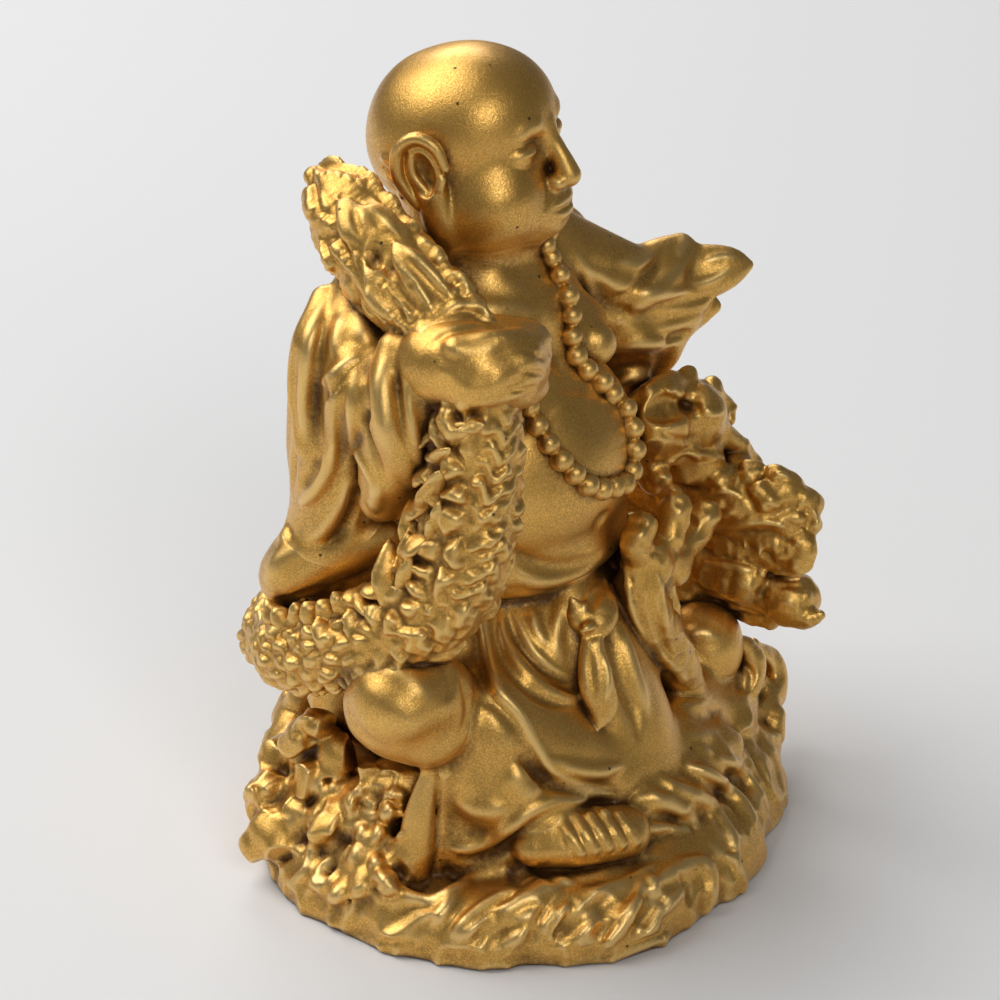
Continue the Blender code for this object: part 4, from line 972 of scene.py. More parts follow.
def make_robe_skirt():
    c = Clay((-20.5, -19.5, 3.0), (19.5, 17.0, 25.5))
    c.gain = 1.9
    c.ball((0, 0.6, 16.2), (12.2, 11.0, 8.2), k=1.5)
    c.limb([(-5.0, 3.0, 16.6), (-10.6, -0.2, 16.4), (-13.0, -1.8, 15.4)], [5.0, 3.7, 2.4], 1.6)
    # right shin, from the knee to the foot
    c.limb([(-12.6, -3.8, 13.4), (-11.2, -7.2, 10.8), (-9.0, -11.0, 8.2)], [2.4, 3.0, 2.5], 1.6)
    c.limb([(-9.2, -5.8, 14.8), (-5.8, -8.6, 11.6), (-3.0, -10.6, 9.0)], [4.8, 4.2, 3.4], 2.0)
    # left thigh and shin
    c.limb([(5.0, 2.0, 15.0), (10.6, -2.4, 12.0), (14.0, -5.0, 9.8)], [5.4, 4.4, 3.4], 2.0)
    c.limb([(12.6, -6.4, 8.6), (7.0, -10.2, 8.6), (2.0, -12.0, 8.0)], [3.2, 3.0, 2.4], 1.8)
    # the front panel that hangs between the legs
    c.limb([(-0.4, -7.4, 21.0), (0.2, -9.4, 16.4), (0.6, -11.2, 11.4), (0.4, -12.6, 8.4)], [3.0, 3.8, 4.2, 3.2], 1.0, flat=((0.1, -0.85, 0.5), 0.6))
    c.ball((0, 6.4, 12.0), (12.8, 8.4, 5.8), k=2.0)
    c.limb([(-12.0, -5.4, 6.0), (-9.4, -8.8, 5.8), (-6.0, -11.6, 6.0), (-2.0, -13.0, 6.6)], [2.6, 2.5, 2.2, 1.8], 1.4)
    c.limb([(-12.2, -4.6, 11.5), (-12.0, -5.4, 6.0)], [2.3, 2.3], 1.2)
    # the recess under the knee, with a leaf-shaped fall of cloth in it
    spots = [c.near(uv, -0.9) for uv in ((-7.62, -20.67), (-7.92, -22.87), (-8.06, -25.66), (-8.06, -27.85))]
    c.limb([p for p in spots if p is not None], [2.2] * sum(p is not None for p in spots), 0.5, cut=True)
    edge = [c.near(uv, 0.5) for uv in ((-3.96, -19.94), (-4.18, -22.72), (-4.4, -25.66), (-4.69, -27.85))]
    edge = [p for p in edge if p is not None]
    if len(edge) > 1:
        c.limb([p + MAIN.back * 0.4 for p in edge], [0.6, 0.5, 0.5, 0.4][:len(edge)], 0.3)
        foot = edge[0] + MAIN.back * 0.5 - MAIN.right * 1.0 + MAIN.up * 0.6
        tip = edge[-1] + MAIN.back * 0.9 - MAIN.right * 1.9 - MAIN.up * 0.4
        c.limb([foot, foot * 0.6 + tip * 0.4 - MAIN.right * 0.2, foot * 0.25 + tip * 0.75, tip], [0.55, 1.05, 1.3, 0.25], 0.2, flat=(MAIN.back, 0.75))
    c.strokes([
        ([(-1.47, -7.18), (-1.25, -9.16), (-0.81, -11.73), (0, -14.07), (1.47, -15.83), (2.64, -18.03), (4.1, -20.23), (6.23, -21.26), (8.94, -21.4)], 0.42, 0.42, {"ends": (0.08, 0.15)}),
        ([(-2.2, -7.33), (-1.91, -10.26), (-1.32, -13.19), (0, -15.1)], 0.5, -0.3),
        ([(0, -8.21), (0.37, -10.26), (1.47, -12.02), (3.3, -13.78), (5.13, -14.51), (6.74, -14.22)], 0.4, 0.5),
        ([(-0.29, -10.26), (0.59, -12.31), (2.05, -13.93), (3.67, -14.81), (5.5, -15.25)], 0.36, -0.3),
        ([(0.44, -7.77), (1.17, -9.82), (2.49, -11.73), (4.1, -12.9), (5.42, -13.34)], 0.32, -0.6),
        ([(1.17, -8.8), (1.91, -10.63), (3.3, -12.17), (4.98, -12.97)], 0.3, 0.26),
        ([(-2.2, -14.66), (0, -15.03), (1.61, -16.71), (2.93, -19.42), (4.1, -21.11)], 0.7, -0.42),
        ([(3.3, -18.76), (5.13, -19.64), (7.33, -19.94), (9.38, -19.35)], 0.5, 0.42),
        ([(0.88, -17.74), (2.2, -19.64), (4.1, -20.82), (6.23, -21.4), (9.38, -21.11)], 0.45, -0.7),
        ([(0.88, -19.06), (1.61, -20.89), (3.3, -22.14)], 0.9, 0.42),
        ([(-3.67, -21.99), (-1.47, -22.87), (1.1, -22.43)], 0.8, 0.2),
        ([(-3.96, -25.66), (-1.76, -25.36), (0.37, -24.34), (2.2, -22.87), (4.4, -21.99), (6.74, -21.99)], 0.42, 0.5, {"ends": (0.12, 0.2)}),
        ([(-3.67, -26.53), (-0.73, -26.09), (1.1, -24.78), (3.3, -23.09)], 0.36, -0.65),
        ([(7.77, -7.18), (8.21, -10.26), (8.94, -13.19), (9.82, -15.54), (10.26, -18.32)], 0.6, -0.6),
        ([(8.94, -8.8), (9.53, -11), (10.41, -13.93), (11, -16.13)], 0.5, 0.4),
        ([(4.4, -7.62), (4.1, -10.26), (4.54, -12.31)], 0.5, 0.2),
        ([(2.2, -7.62), (2.79, -9.68), (3.81, -11)], 0.4, 0.2),
        ([(-2.2, -10.26), (-2.79, -12.09), (-3.52, -13.93)], 0.6, -0.2),
        ([(-7.7, -17.74), (-5.86, -18.47), (-3.96, -18.47)], 0.5, -0.36),
        ([(-11.87, -19.06), (-11, -21.99), (-9.38, -24.92)], 0.8, 0.4),
        ([(-10.12, -18.76), (-8.94, -21.99), (-7.62, -25.66)], 0.5, -0.5),
        ([(-8.94, -18.47), (-7.92, -21.62), (-7.18, -24.92)], 0.5, 0.42),
    ])
    c.strokes([
        ([(3.0, 16.0), (6.5, 13.0), (11.0, 10.6)], 0.7, 0.4),
        ([(3.5, 13.0), (7.0, 10.6), (11.5, 8.6)], 0.6, -0.42),
        ([(4.0, 10.6), (7.5, 8.6), (11.5, 7.0)], 0.6, 0.36),
        ([(6.0, 18.4), (9.0, 15.4), (12.5, 12.4)], 0.6, -0.36),
    ], FRONT)
    folds = []
    for i in range(8):
        x = -12.0 + 3.4 * i
        folds.append(([(x * 0.92, 17.5), (x + 0.6 * math.sin(i * 2.1), 12.0), (x * 1.05, 6.5)], 0.8, 0.42 if i % 2 else -0.4))
    c.strokes(folds, BACK)
    c.strokes([
        ([(-6.0, 15.0), (0.0, 12.0), (6.0, 8.0)], 0.7, 0.4),
        ([(-5.0, 12.6), (0.5, 9.6), (6.0, 6.4)], 0.6, -0.4),
    ], LEFT)
    c.rough(2.6, 0.1, 25)
    return c


def make_waist_sash():
    c = Clay((-8.0, -17.5, 9.0), (5.0, -4.0, 27.5), H_FINE)
    at = SKIRT.on_skin
    # a knot with two loops and two tails that lie on the skirt
    k0 = at((6.45, -8.21), MAIN, 0.9)
    c.ball(k0 - MAIN.up * 1.2, (0.8, 0.5, 0.6), k=0.4)
    leaf(c, at((6.74, -9.82), MAIN, 0.35), at((7.62, -5.72), MAIN, 0.75), MAIN.back, 1.25, 0.75, 0.25, belly=1.3)
    leaf(c, at((6.45, -9.53), MAIN, 0.3), at((5.13, -7.04), MAIN, 0.5), MAIN.back, 0.75, 0.55, 0.25, belly=1.2)
    c.limb([at((6.67, -9.38), MAIN, 0.6), at((6.74, -11), MAIN, 0.6), at((7.04, -13.49), MAIN, 0.6), at((7.55, -15.25), MAIN, 0.55), at((7.33, -16.64), MAIN, 0.4)],
           [0.6, 0.95, 1.3, 1.05, 0.2], 0.3, flat=(MAIN.back, 0.5))
    c.strokes([
        ([(6.6, -8.21), (6.96, -7.33), (7.4, -6.3)], 0.25, -0.5),
        ([(6.16, -8.5), (6.3, -7.33), (7.04, -6.3)], 0.2, 0.3),
        ([(5.72, -9.68), (6.6, -9.97), (7.62, -9.68)], 0.3, -0.4),
        ([(6.6, -10.85), (6.74, -12.9), (7.11, -14.95)], 0.28, -0.35),
        ([(7.62, -11.14), (7.99, -13.19), (7.77, -15.03)], 0.25, 0.3),
    ])
    return c


def make_prayer_beads():
    c = Clay((-9.0, -13.5, 27.0), (9.5, 6.5, 51.5), H_FINE)
    at = TORSO.on_skin
    line2d = [(3.01, 18.32), (3.74, 17.3), (4.4, 15.91), (4.84, 14.51), (4.98, 13.12), (5.13, 11.65), (5.57, 10.12), (6.6, 9.02), (7.7, 7.84), (9.02, 6.6), (10.04, 5.13), (10.12, 3.52),
          (9.38, 2.05), (8.06, 1.03), (6.52, 1.03), (5.13, 2.2), (3.88, 3.52), (2.93, 4.98), (2.2, 6.45), (1.54, 7.84)]
    run = []
    for p in line2d:
        hit = at(p, MAIN, 0)
        if hit is not None:
            run.append(hit)
    run = np.array(run)
    line = even(spline(run, 6), 0.2)
    seg = np.concatenate([[0], np.cumsum(np.linalg.norm(np.diff(line, axis=0), axis=1))])
    # out to both sides of the neck
    start = np.array([(5.4, 1.6, 47.0), (4.0, -0.6, 47.6)])
    end = np.array([(-5.0, -4.2, 40.4), (-5.4, -3.2, 43.4), (-5.2, -0.4, 45.8), (-5.4, 2.2, 46.8)])
    full = even(spline(np.vstack([start, line[::6], end]), 4), 0.2)
    seg = np.concatenate([[0], np.cumsum(np.linalg.norm(np.diff(full, axis=0), axis=1))])
    pitch = 1.47
    n = int(seg[-1] / pitch)
    for i in range(n + 1):
        s = i * pitch
        p = np.array([np.interp(s, seg, full[:, j]) for j in range(3)])
        d = TORSO.sample(p[None])[0]
        g = np.array([TORSO.sample((p + e)[None])[0] - TORSO.sample((p - e)[None])[0] for e in np.eye(3) * 0.3])
        g = g / (np.linalg.norm(g) + 1e-9)
        p = p + g * (0.32 - d)
        big = 0.70 + 0.1 * hashed(i, 4.0) + 0.08 * math.sin(math.pi * s / seg[-1])
        c.ball(p, (big, big, big), k=0.12)
    c.rough(0.9, 0.03, 27)
    return c


# ------------------------------------------------------------------ the dragon
FRONT_PATH = [(-11.3, -6.5, 42.6), (-11.6, -6.6, 40.8), (-12.2, -6.8, 34.6), (-13.2, -6.0, 28.4), (-14.9, -3.2, 24.0), (-15.9, 1.8, 21.0), (-15.4, 7.2, 18.4), (-11.9, 11.4, 16.6)]
FRONT_RAD = [3.0, 3.1, 3.25, 3.4, 3.3, 3.1, 2.9, 2.7]
REAR_PATH = [(-12.4, 11.4, 16.4), (-10.0, 13.4, 15.8), (-3.0, 16.2, 15.6), (5.0, 15.8, 16.2), (12.0, 12.2, 17.8), (16.4, 5.4, 20.4), (16.4, 0.6, 22.3), (16.4, -2.2, 22.9)]
REAR_RAD = [2.9, 3.0, 3.2, 3.2, 3.2, 3.1, 2.7, 1.9]


def front_skin(s, a, r, length):
    """Wavy cross ridges on the viewer's right of the column, irregular scales on its left and round the low coil."""
    w = a * r
    up = 1 - smooth(s / length, 0.52, 0.66)
    plate = smooth(a, -0.25, 0.1) * (1 - smooth(a, 1.9, 2.3)) * up
    wob = 0.5 * np.sin(w * 1.5 + s * 0.35) + 0.25 * np.sin(w * 3.7 + s)
    ridges = lumps(s + wob, w, 1.5, 4.4, 0.6, 3.0, 0.7) + lumps(s + wob, w, 0.9, 1.6, 0.12, 4.0, 0.9)
    left = lumps(s + 0.3 * wob, w, 2.2, 1.8, 0.8, 5.0, 0.95)
    low = lumps(s + 0.3 * wob, w, 1.45, 1.2, 0.55, 7.0, 0.75)
    rest = left * up + low * (1 - up)
    return plate * ridges + (1 - plate) * rest


def rear_skin(s, a, r, length):
    return lumps(s, a * r, 1.35, 1.3, 0.6, 9.0, 0.6)


def make_dragon_body_front():
    c = Clay((-22.5, -12.5, 10.5), (-6.0, 18.5, 46.0))
    c.limb(FRONT_PATH, FRONT_RAD, 0.5, detail=(MAIN.back, front_skin))
    c.rough(0.8, 0.12, 31)
    c.rough(2.0, 0.1, 32)
    c.strokes([
        ([(-4.98, -10.26), (-3.52, -9.24), (-2.2, -7.77), (-1.17, -6.6)], 0.5, 0.3),
        ([(-4.69, 6.45), (-2.93, 6.01), (-0.73, 6.6), (1.47, 7.04)], 0.45, -0.35),
        ([(1.03, 5.86), (1.47, 2.2), (1.32, -2.2), (0.88, -5.5)], 0.5, 0.3),
    ])
    return c


def make_dragon_body_rear():
    c = Clay((-17.0, -5.0, 10.5), (22.0, 21.5, 28.0), H * 1.12)
    c.limb(REAR_PATH, REAR_RAD, 0.5, detail=((0, 0, 1), rear_skin))
    c.rough(0.9, 0.1, 33)
    return c


def frames(path, rad, ref):
    rows = even(spline(np.column_stack([np.asarray(path, float), rad]), 8), 0.3)
    pts = rows[:, :3]
    tan = np.gradient(pts, axis=0)
    tan /= np.linalg.norm(tan, axis=1, keepdims=True)
    r = np.asarray(ref, float)
    n = r - tan * (tan @ r)[:, None]
    n /= np.linalg.norm(n, axis=1, keepdims=True)
    b = np.cross(n, tan)
    s = np.concatenate([[0], np.cumsum(np.linalg.norm(np.diff(pts, axis=0), axis=1))])
    return pts, rows[:, 3], tan, n, b, s


def make_dragon_fins_front():
    c = Clay((-24.5, -14.0, 12.0), (-6.0, 16.5, 45.5), H_FINE)
    pts, rad, tan, n, b, s = frames(FRONT_PATH, FRONT_RAD, MAIN.back)
    # one chain along the body's left edge so that the fins are one piece
    ang0 = -1.25
    keep = (s > 2.0) & (s < s[-1] - 5.0)
    spine = pts + (n * math.cos(ang0) + b * math.sin(ang0)) * (rad * 0.86)[:, None]
    c.limb(spine[keep][::5], [0.8] * len(spine[keep][::5]), 0.3)
    at, i = 2.6, 0
    while at < s[-1] * 0.62:
        j = int(np.searchsorted(s, at))
        a = -1.25 + 0.3 * (hashed(i, 5.0) - 0.5)
        out = n[j] * math.cos(a) + b[j] * math.sin(a)
        foot = pts[j] + out * rad[j] * 0.86
        tip = foot + out * 1.3 + tan[j] * 1.9
        leaf(c, foot, tip, out * 0.8 - tan[j] * 0.5, 1.0, 0.45, 0.2, belly=1.1, bend=out * 0.35)
        at += 2.6 * (0.9 + 0.3 * hashed(i, 8.0))
        i += 1
    # the larger plates that stand out on the viewer's side: foot, tip, half width
    for foot, tip, width in (
        ((-5.57, -0.88), (-4.4, 2.2), 1.25), ((-3.96, -0.44), (-5.57, 1.61), 1.0), ((-6.3, -3.3), (-6.45, 0.15), 1.3), ((-4.98, -2.93), (-4.4, 0), 0.9),
        ((-7.04, -4.84), (-6.74, -2.35), 0.9), ((-8.36, -7.33), (-8.06, -2.79), 1.35), ((-7.33, -6.6), (-6.45, -4.03), 0.8), ((-9.82, -8.21), (-9.82, -6.01), 1.2),
        ((-11.87, -9.97), (-12.17, -7.18), 1.2), ((-10.85, -9.68), (-10.85, -7.62), 0.9), ((-13.05, -10.41), (-13.34, -8.36), 0.8), ((-4.69, 4.69), (-1.03, 5.57), 0.8),
        ((0, 5.86), (-3.52, 4.98), 0.7), ((-5.13, 2.79), (-3.52, 3.81), 0.7),
    ):
        f, t = DRAGON.near(foot, 0.4), DRAGON.near(tip, -0.9)
        if f is not None and t is not None:
            leaf(c, f, t, MAIN.back + 0.25 * MAIN.right, width * 0.8, 0.5, 0.2, belly=1.1, bend=MAIN.back * 0.35)
    # upright plates along the top of the low coil
    for m in range(11):
        j = int(np.searchsorted(s, s[-1] * 0.62 + 1.75 * m))
        if j >= len(pts) - 2:
            break
        up = np.array([-0.35, 0.1, 1.0])
        up = up - tan[j] * (tan[j] @ up)
        up /= np.linalg.norm(up)
        foot = pts[j] + up * rad[j] * 0.8 + MAIN.back * 0.5
        tip = foot + up * (1.7 + 0.7 * hashed(m, 9.0)) + tan[j] * (0.7 - 1.4 * hashed(m, 12.0))
        leaf(c, foot, tip, MAIN.back, 0.66 + 0.16 * hashed(m, 13.0), 0.6, 0.14, belly=1.25)
        c.ball(foot * 0.25 + tip * 0.75, (0.5, 0.42, 0.42), k=0.2)
    # the pointed end plate that shows past the robe's hem
    leaf(c, at_x((-17.01, -10.26), -15.6), at_x((-18.98, -8.8), -15.4), (-0.3, 0.3, 0.9), 1.1, 0.5, 0.3)
    c.strokes([
        ([(-6.3, 0), (-5.57, 0.73), (-4.69, 1.32)], 0.22, -0.25),
        ([(-5.57, -1.1), (-4.84, -1.83), (-4.4, -2.93)], 0.22, -0.25),
        ([(-7.48, -3.3), (-7.77, -4.76), (-7.92, -6.23)], 0.25, -0.25),
        ([(-12.09, -7.33), (-11.73, -8.8), (-11, -9.97)], 0.25, -0.25),
    ])
    c.rough(0.8, 0.06, 35)
    return c


def make_dragon_fins_rear():
    c = Clay((-17.5, -4.0, 14.0), (22.5, 22.5, 31.0), H * 1.12)
    pts, rad, tan, n, b, s = frames(REAR_PATH, REAR_RAD, (0, 0, 1))
    spine = pts + (n * 0.82 + b * -0.35) * (rad * 0.9)[:, None]
    keep = (s > 1.0) & (s < s[-1] - 3.0)
    c.limb(spine[keep][::5], [0.7] * len(spine[keep][::5]), 0.3)
    at, i = 2.0, 0
    while at < s[-1] - 3.5:
        j = int(np.searchsorted(s, at))
        out = n[j] * 0.86 + b[j] * -0.4
        out /= np.linalg.norm(out)
        foot = pts[j] + out * rad[j] * 0.86
        tip = foot + out * (2.2 + 0.5 * hashed(i, 6.0)) - tan[j] * 1.0
        leaf(c, foot, tip, tan[j] * 0.2 + np.cross(tan[j], out), 1.1, 0.42, 0.2)
        at += 2.0
        i += 1
    return c


TAIL_PATH = [at_x((-3.08, 11.14), -10.6), at_x((-4.25, 12.61), -10.6), at_x((-6.45, 15.17), -10.5), at_x((-8.72, 17.74), -10.2), at_x((-10.26, 19.79), -9.8), at_x((-11.29, 21.26), -9.5), at_x((-12.24, 22.58), -9.3)]
TAIL_RAD = [3.0, 3.2, 3.4, 3.4, 3.1, 2.8, 1.9]


def tail_skin(s, a, r, length):
    a = -a
    w = a * r
    rough = lumps(s + 0.4 * np.sin(w), w, 2.5, 1.9, 0.7, 11.0, 0.9)
    left = 1 - smooth(a, -0.5, -0.2)
    flat = smooth(a, -0.4, -0.1) * (1 - smooth(a, 0.85, 1.0))
    ph = (s * 0.75 + w * 0.75) / 3.6
    step = ph - np.floor(ph)
    plates = 0.5 * (1 - smooth(step, 0.0, 0.3)) * smooth(step, -0.1, 0.05) + 0.35 * smooth(step, 0.25, 1.0)
    keel = np.exp(-((a - 0.98) / 0.16) ** 2) * (0.65 + 0.2 * np.sin(s * 2.6))
    band = smooth(a, 1.15, 1.3) * 0.12 * np.sin(s * 2.0)
    return left * rough + flat * (plates - 0.15) + keel + band


def make_dragon_tail():
    c = Clay((-17.5, -11.0, 42.0), (-3.5, 15.0, 58.0), H_FINE)
    c.limb(TAIL_PATH, TAIL_RAD, 0.5, detail=(MAIN.back, tail_skin))
    # the tuft: a rounded nub and leaf plates at the tip
    c.limb([at_x((-11.36, 21.62), -9.2), at_x((-12.75, 23.02), -9.2), at_x((-13.63, 23.75), -9.4)], [1.3, 1.0, 0.78], 0.35)
    for foot, tip, width in (((-9.38, 18.62), (-11.87, 22.28), 1.35), ((-7.04, 17.45), (-9.38, 21.99), 1.2), ((-4.98, 14.66), (-7.92, 19.06), 1.3), ((-7.48, 13.49), (-9.82, 17.45), 1.15)):
        f, t = c.near(foot, 0.35), c.near(tip, -0.15)
        if f is not None and t is not None:
            leaf(c, f, t, MAIN.back, width, 0.4, 0.3, belly=1.05, bend=MAIN.back * 0.3)
    c.strokes([
        ([(-10.85, 21.62), (-10.41, 19.94), (-9.97, 19.06)], 0.3, -0.5),
        ([(-9.38, 19.06), (-9.24, 17.74), (-8.94, 16.86)], 0.45, -0.8),
        ([(-8.43, 17.45), (-7.33, 15.39), (-5.57, 13.34)], 0.35, -0.55),
        ([(-7.04, 18.62), (-5.13, 16.71), (-3.3, 14.66)], 0.35, 0.45),
        ([(-7.48, 17.45), (-5.86, 15.39), (-4.69, 13.49)], 0.3, 0.3),
        ([(-10.85, 22.28), (-9.38, 21.4), (-7.92, 19.94), (-7.04, 18.91)], 0.35, 0.4),
        ([(-8.43, 22.87), (-6.45, 21.11), (-4.4, 18.62), (-2.57, 15.98), (-0.88, 13.63)], 0.34, 0.5),
        ([(-7.33, 18.32), (-5.28, 16.13), (-3.23, 13.78)], 0.5, -0.3),
        ([(-7.92, 13.05), (-6.23, 12.46), (-4.69, 13.05)], 0.4, 0.35),
        ([(-4.4, 13.34), (-3.3, 14.22), (-1.61, 14.22), (-1.03, 13.63), (-2.2, 12.9)], 0.3, 0.4),
        ([(-11.36, 17.96), (-9.9, 15.39), (-8.43, 13.19)], 0.5, 0.35),
    ])
    for uv, r in (((-13.34, 20.96), 0.9), ((-13.05, 19.35), 0.9), ((-12.46, 17.89), 0.8), ((-6.45, 20.08), 0.4), ((-5.5, 18.91), 0.4), ((-4.54, 17.74), 0.4), ((-3.67, 16.42), 0.4)):
        c.dab(uv, r, 0.42)
    for uv in ((-11.65, 22.36), (-8.65, 15.91), (-6.52, 15.83), (-5.57, 19.5), (-9.09, 17.74)):
        c.dab(uv, 0.24, -0.5)
    c.rough(1.1, 0.12, 37)
    return c


def make_dragon_head():
    c = Clay((9.0, -19.0, 16.5), (25.0, 2.5, 31.5), H_FINE)
    c.gain = 1.2
    # skull and snout
    c.limb([(16.2, 0.2, 22.6), (16.4, -4.2, 23.2), (17.0, -8.6, 23.5), (17.6, -11.8, 22.8)], [3.0, 3.1, 2.7, 1.9], 0.9)
    c.limb([(16.6, -8.2, 21.6), (17.2, -11.6, 21.2), (17.8, -13.6, 21.4)], [1.7, 1.4, 1.0], 0.7)
    B = MAIN.back

    def lump(uv, r, k=0.4, sink=0.55):
        p = c.near(uv, sink)
        if p is not None:
            c.ball(p, r, k=k)

    # bulbous nose, nostril, lip
    lump((20.82, 0.73), (1.8, 1.7, 1.7), 0.4, 0.3)
    lump((22.58, -0.29), (1.2, 1.2, 1.3), 0.4, 0.2)
    lump((19.79, 0), (1.3, 1.2, 1.1), 0.5, 0.3)
    lump((22.21, 0), (0.95, 0.95, 1.0))
    lump((22.87, -1.76), (0.8, 0.9, 0.8))
    lump((21.7, -1.17), (0.85, 0.8, 0.75))
    lump((21.99, -3.08), (0.75, 0.8, 0.7))
    lump((19.06, 0.59), (0.9, 1.0, 0.9))
    lump((20.38, 1.91), (0.9, 0.9, 0.8))
    # brows and eye
    lump((18.47, 1.91), (1.35, 1.2, 1.1), 0.3, 0.4)
    lump((16.42, 1.47), (1.35, 1.2, 1.1), 0.3, 0.4)
    lump((15.25, 1.76), (1.1, 1.1, 0.9))
    lump((17.59, 2.79), (1.3, 1.0, 0.8))
    lump((16.27, -0.15), (0.75, 0.7, 0.62), 0.15)
    c.strokes([
        ([(14.95, 0), (15.83, 0.59), (17.01, 0.59), (17.89, 0)], 0.22, 0.3),
        ([(15.25, -0.88), (16.27, -1.1), (17.45, -0.59)], 0.22, 0.26),
        ([(14.66, -2.2), (16.71, -1.91), (18.76, -1.61), (20.67, -1.91), (21.99, -2.64)], 0.32, 0.36),
        ([(14.95, -3.08), (17.23, -2.64), (19.79, -2.64), (21.7, -3.37)], 0.35, -0.5),
        ([(19.35, 0), (19.94, -0.88), (21.26, -1.03)], 0.25, -0.35),
        ([(17.74, 1.03), (18.32, 0), (18.76, -1.17)], 0.3, -0.35),
        ([(19.79, 1.47), (20.67, 1.91), (21.7, 1.47)], 0.28, 0.26),
        ([(22.87, -0.59), (23.31, -1.47), (23.02, -2.35)], 0.25, 0.25),
        ([(13.93, 0), (14.66, -1.17), (14.66, -2.49)], 0.3, -0.4),
    ])
    c.dab((22.43, -0.88), 0.3, -0.5)
    c.dab((21.18, -1.91), 0.28, -0.45)
    lump((22.43, -3.81), (1.0, 0.9, 1.1), 0.5, 0.6)
    lump((21.99, -4.54), (1.1, 1.0, 1.0), 0.5, 0.7)
    lump((20.96, -3.81), (1.2, 1.0, 0.9), 0.5, 0.7)
    # upper teeth
    for i, uv in enumerate(((15.83, -3.23), (16.86, -3.08), (17.96, -3.01), (19.06, -3.08), (20.23, -3.3), (21.26, -3.81))):
        p = c.near(uv, 0.25)
        if p is not None:
            c.limb([p + MAIN.up * 0.3, p - MAIN.up * (0.9 if i % 2 else 0.65)], [0.38, 0.14], 0.15)
    c.rough(2.2, 0.2, 62, ridged=True)
    c.rough(0.8, 0.08, 39)
    c.rough(0.45, 0.05, 40)
    return c


def make_dragon_lower_jaw():
    c = Clay((9.0, -19.5, 9.5), (24.0, 2.5, 25.0), H_FINE)
    c.gain = 1.2
    c.limb([(15.6, 0.0, 20.6), (16.0, -2.6, 18.4), (16.2, -6.0, 17.4), (16.4, -9.4, 17.2)], [2.9, 2.7, 2.4, 2.1], 0.9)
    # squared front of the jaw with its flat top
    p = at_y((21.4, -7.18), 12.6)
    c.ball(p, (2.2, 2.2, 1.95), (0, 8, 18), k=0.9)
    c.ball(p + (-0.4, 0.3, 0.2), (1.7, 2.2, 1.9), k=0.9)
    c.limb([at_y((17.96, -6.45), 8.6), p], [1.7, 1.8], 0.8)
    c.limb([at_y((21.4, -8.21), 13.2), at_y((22.58, -8.65), 14.6), at_y((23.46, -8.36), 15.4)], [1.2, 0.95, 0.55], 0.5)
    c.limb([at_y((15.1, -6.74), 5.6), at_y((17.23, -7.92), 8.0), at_y((19.79, -8.8), 11.0)], [1.3, 1.0, 0.8], 0.6)
    c.limb([at_y((13.49, -6.3), 4.6), at_y((14.81, -7.48), 5.6)], [2.0, 1.8], 0.8)
    # the tongue and the dark of the mouth
    c.limb([(16.2, -3.0, 20.4), (16.6, -8.0, 19.8), (17.2, -11.6, 19.6), (17.5, -13.0, 19.3)], [1.8, 1.6, 1.3, 1.1], 0.3)
    c.strokes([
        ([(19.35, -5.28), (21.26, -5.42), (23.16, -5.72)], 0.25, 0.34),
        ([(19.5, -6.16), (21.26, -6.3), (23.02, -6.45)], 0.3, -0.2),
        ([(14.81, -4.54), (16.86, -4.84), (19.2, -5.28)], 0.3, 0.34),
        ([(14.66, -7.33), (17.23, -7.77), (19.2, -8.5)], 0.3, 0.3),
        ([(14.66, -8.21), (16.49, -8.8), (18.32, -8.94)], 0.3, -0.3),
        ([(19.35, -5.86), (19.2, -7.33), (19.64, -8.5)], 0.3, -0.3),
        ([(13.93, -5.5), (14.66, -6.6), (16.27, -7.04)], 0.3, -0.35),
    ])
    for i, uv in enumerate(((19.2, -4.98), (17.89, -4.69), (16.42, -4.4))):
        p = c.near(uv, 0.25)
        if p is not None:
            c.limb([p - MAIN.up * 0.3, p + MAIN.up * (0.8 if i % 2 else 0.6)], [0.36, 0.14], 0.15)
    c.rough(2.4, 0.18, 61, ridged=True)
    c.rough(0.8, 0.12, 41)
    c.rough(0.45, 0.05, 42)
    return c


def make_dragon_horns():
    c = Clay((12.0, -11.5, 21.5), (23.5, 3.0, 33.0), H_FINE)
    c.limb([(16.6, -6.8, 25.0), (16.2, -4.6, 27.2), (15.8, -1.6, 28.8)], [1.25, 1.0, 0.42], 0.3)
    c.limb([(18.8, -6.6, 25.0), (19.4, -4.0, 27.0), (19.8, -1.2, 28.2)], [1.25, 1.0, 0.42], 0.3)
    c.limb([(16.6, -6.6, 25.0), (18.9, -6.2, 25.0)], [1.2, 1.2], 0.4)
    for m in range(5):
        t = m / 5
        for a, b in (((16.6, -6.8, 25.0), (15.8, -1.6, 28.8)), ((18.8, -6.6, 25.0), (19.8, -1.2, 28.2))):
            p = np.array(a) * (1 - t) + np.array(b) * t + [0, 0, 0.9 - 0.9 * abs(t - 0.5)]
            c.ball_field(p, 0.42, -0.16)
    return c


